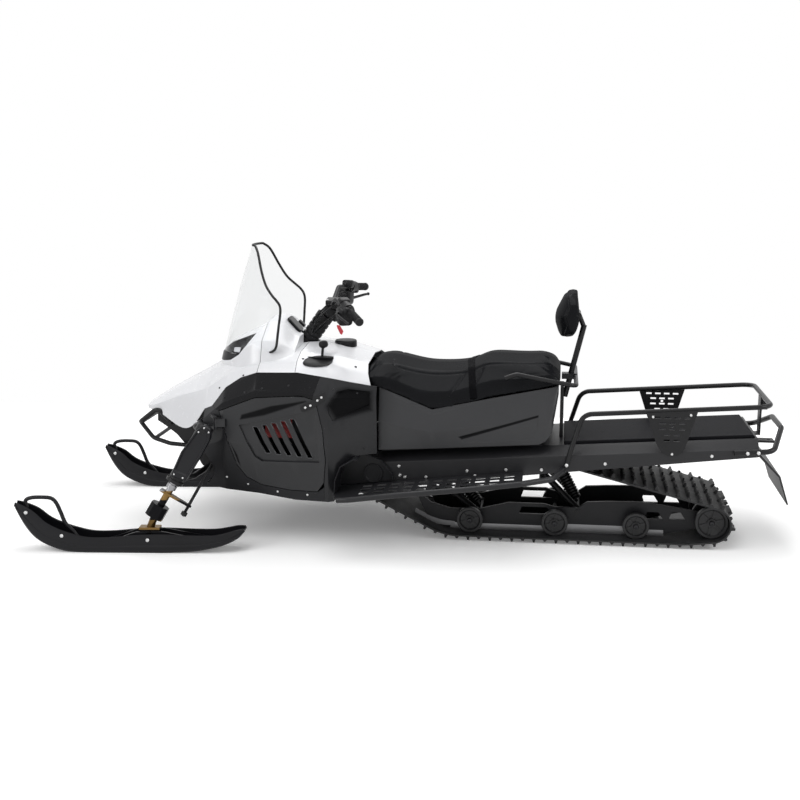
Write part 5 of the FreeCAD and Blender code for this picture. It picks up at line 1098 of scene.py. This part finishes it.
piece("brake_lever", [tube(brake_lever, np.linspace(0.0085, 0.0058, 26)), lever_end], black_metal,
      "handlebar_set", 50)
moulded(black_plastic, "gear_lever", 0.0005)
lever_points = np.array([vertex.co for vertex in nodes["gear_lever"].data.vertices])
knob_at = lever_points[lever_points[:, 2] > lever_points[:, 2].max() - 0.03].mean(axis=0)
bezel_turn = np.linspace(0, 2 * np.pi, 40, endpoint=False)
bezel_line = np.stack([np.cos(bezel_turn), np.sin(bezel_turn)], 1)
bezel_line = np.sign(bezel_line) * np.abs(bezel_line) ** 0.8 * (0.063, 0.0185) + (-0.386, 0.829)
BEZEL_RINGS = ((1.0, -0.002), (1.0, 0.004), (0.94, 0.007), (0.75, 0.0075), (0.5, 0.0075), (0.2, 0.0075))
rings = [lift_onto("console", scaled(bezel_line, size), -1, gap) for size, gap in BEZEL_RINGS]
knob = rounded_block(knob_at + (0.002, 0.0, -0.002), (0.015, 0.021, 0.017), (1.0, 0.0, 0.15), 0.8)
piece("lever_bezel", [lofted(rings, False), knob], black_plastic, "chassis", 40)
moulded(black_plastic, "fuel_cap", 0.001)
for name in ("engine", "column_bracket"):
    nodes[name].data.materials.clear()
    nodes[name].data.materials.append(black_metal)

# Stage: a plain pale floor and soft studio light, with the camera where the photograph was taken.
# The floor keeps the shadow. Its glow grows with the distance from the machine, to meet the white backdrop.
floor_mesh = bpy.data.meshes.new("floor")
floor_mesh.from_pydata([(-20, -12, 0), (20, -12, 0), (20, 2.5, 0), (-20, 2.5, 0)], [], [(0, 1, 2, 3)])
floor = bpy.data.objects.new("floor", floor_mesh)
bpy.context.scene.collection.objects.link(floor)


def seen_rays(look):
    """1 for rays of the camera, of a gloss or through a clear sheet, else 0: the largest of three."""
    path = add_node(look.node_tree, "ShaderNodeLightPath").outputs
    seen = combine(look, "MAXIMUM", path["Is Camera Ray"], path["Is Glossy Ray"])
    return combine(look, "MAXIMUM", seen, path["Is Transmission Ray"])


floor_look = bpy.data.materials.new("floor_look")
floor_look.use_nodes = True
floor_tree = floor_look.node_tree
floor_place = add_node(floor_tree, "ShaderNodeTexCoord").outputs["Object"]
floor_away = add_node(floor_tree, "ShaderNodeVectorMath", {0: floor_place},
                      operation="LENGTH").outputs["Value"]
glow = add_node(floor_tree, "ShaderNodeMapRange", {"Value": floor_away, "From Min": 1.2, "From Max": 3.6,
                                                   "To Min": 0.16, "To Max": 0.62},
                interpolation_type="SMOOTHSTEP")
feed(floor_tree.nodes["Principled BSDF"], {
    "Base Color": (0.93, 0.93, 0.93, 1.0), "Roughness": 0.9, "Specular IOR Level": 0.1,
    "Emission Color": (1.0, 1.0, 1.0, 1.0),
    "Emission Strength": combine(floor_look, "MULTIPLY", glow.outputs["Result"], seen_rays(floor_look))})
floor_mesh.materials.append(floor_look)
floor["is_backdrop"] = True

world = bpy.data.worlds.new("studio")
bpy.context.scene.world = world
world.use_nodes = True
sky_level = add_node(world.node_tree, "ShaderNodeMapRange", {"Value": seen_rays(world), "To Min": 0.26,
                                                             "To Max": 1.0})
feed(world.node_tree.nodes["Background"], {"Color": (1.0, 1.0, 1.0, 1.0),
                                           "Strength": sky_level.outputs["Result"]})


def lamp(name, place, aim, size, power):
    """A square soft light that faces a point."""
    light = bpy.data.lights.new(name, "AREA")
    light.size = size
    light.energy = power
    holder = bpy.data.objects.new(name, light)
    holder.location = place
    holder.rotation_euler = (Vector(aim) - Vector(place)).to_track_quat("-Z", "Y").to_euler()
    bpy.context.scene.collection.objects.link(holder)


lamp("over_light", (0.0, 0.4, 4.4), (0.0, 0.0, 0.4), 3.2, 85)
lamp("front_light", (-4.0, -3.4, 2.8), (-0.6, 0.0, 0.6), 2.0, 62)
lamp("rear_light", (3.8, -1.6, 2.4), (0.4, 0.0, 0.5), 1.6, 45)
lamp("far_light", (0.0, 3.6, 4.6), (0.0, 0.0, 0.6), 2.4, 45)
daylight = bpy.data.lights.new("daylight", "SUN")
daylight.energy = 0.85
daylight.angle = math.radians(40)
daylight_holder = bpy.data.objects.new("daylight", daylight)
daylight_holder.visible_glossy = False
daylight_holder.rotation_euler = (math.radians(28), math.radians(-14), 0.0)
bpy.context.scene.collection.objects.link(daylight_holder)

camera = bpy.data.cameras.new("camera")
camera.lens = 54.27
camera.sensor_width = 36.0
viewer = bpy.data.objects.new("camera", camera)
viewer.location = (0.675, -5.545, 1.726)
viewer.rotation_euler = (math.radians(78.63), 0.0, math.radians(7.5))
bpy.context.scene.collection.objects.link(viewer)
bpy.context.scene.camera = viewer
bpy.context.scene.view_settings.view_transform = "Standard"

low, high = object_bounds()
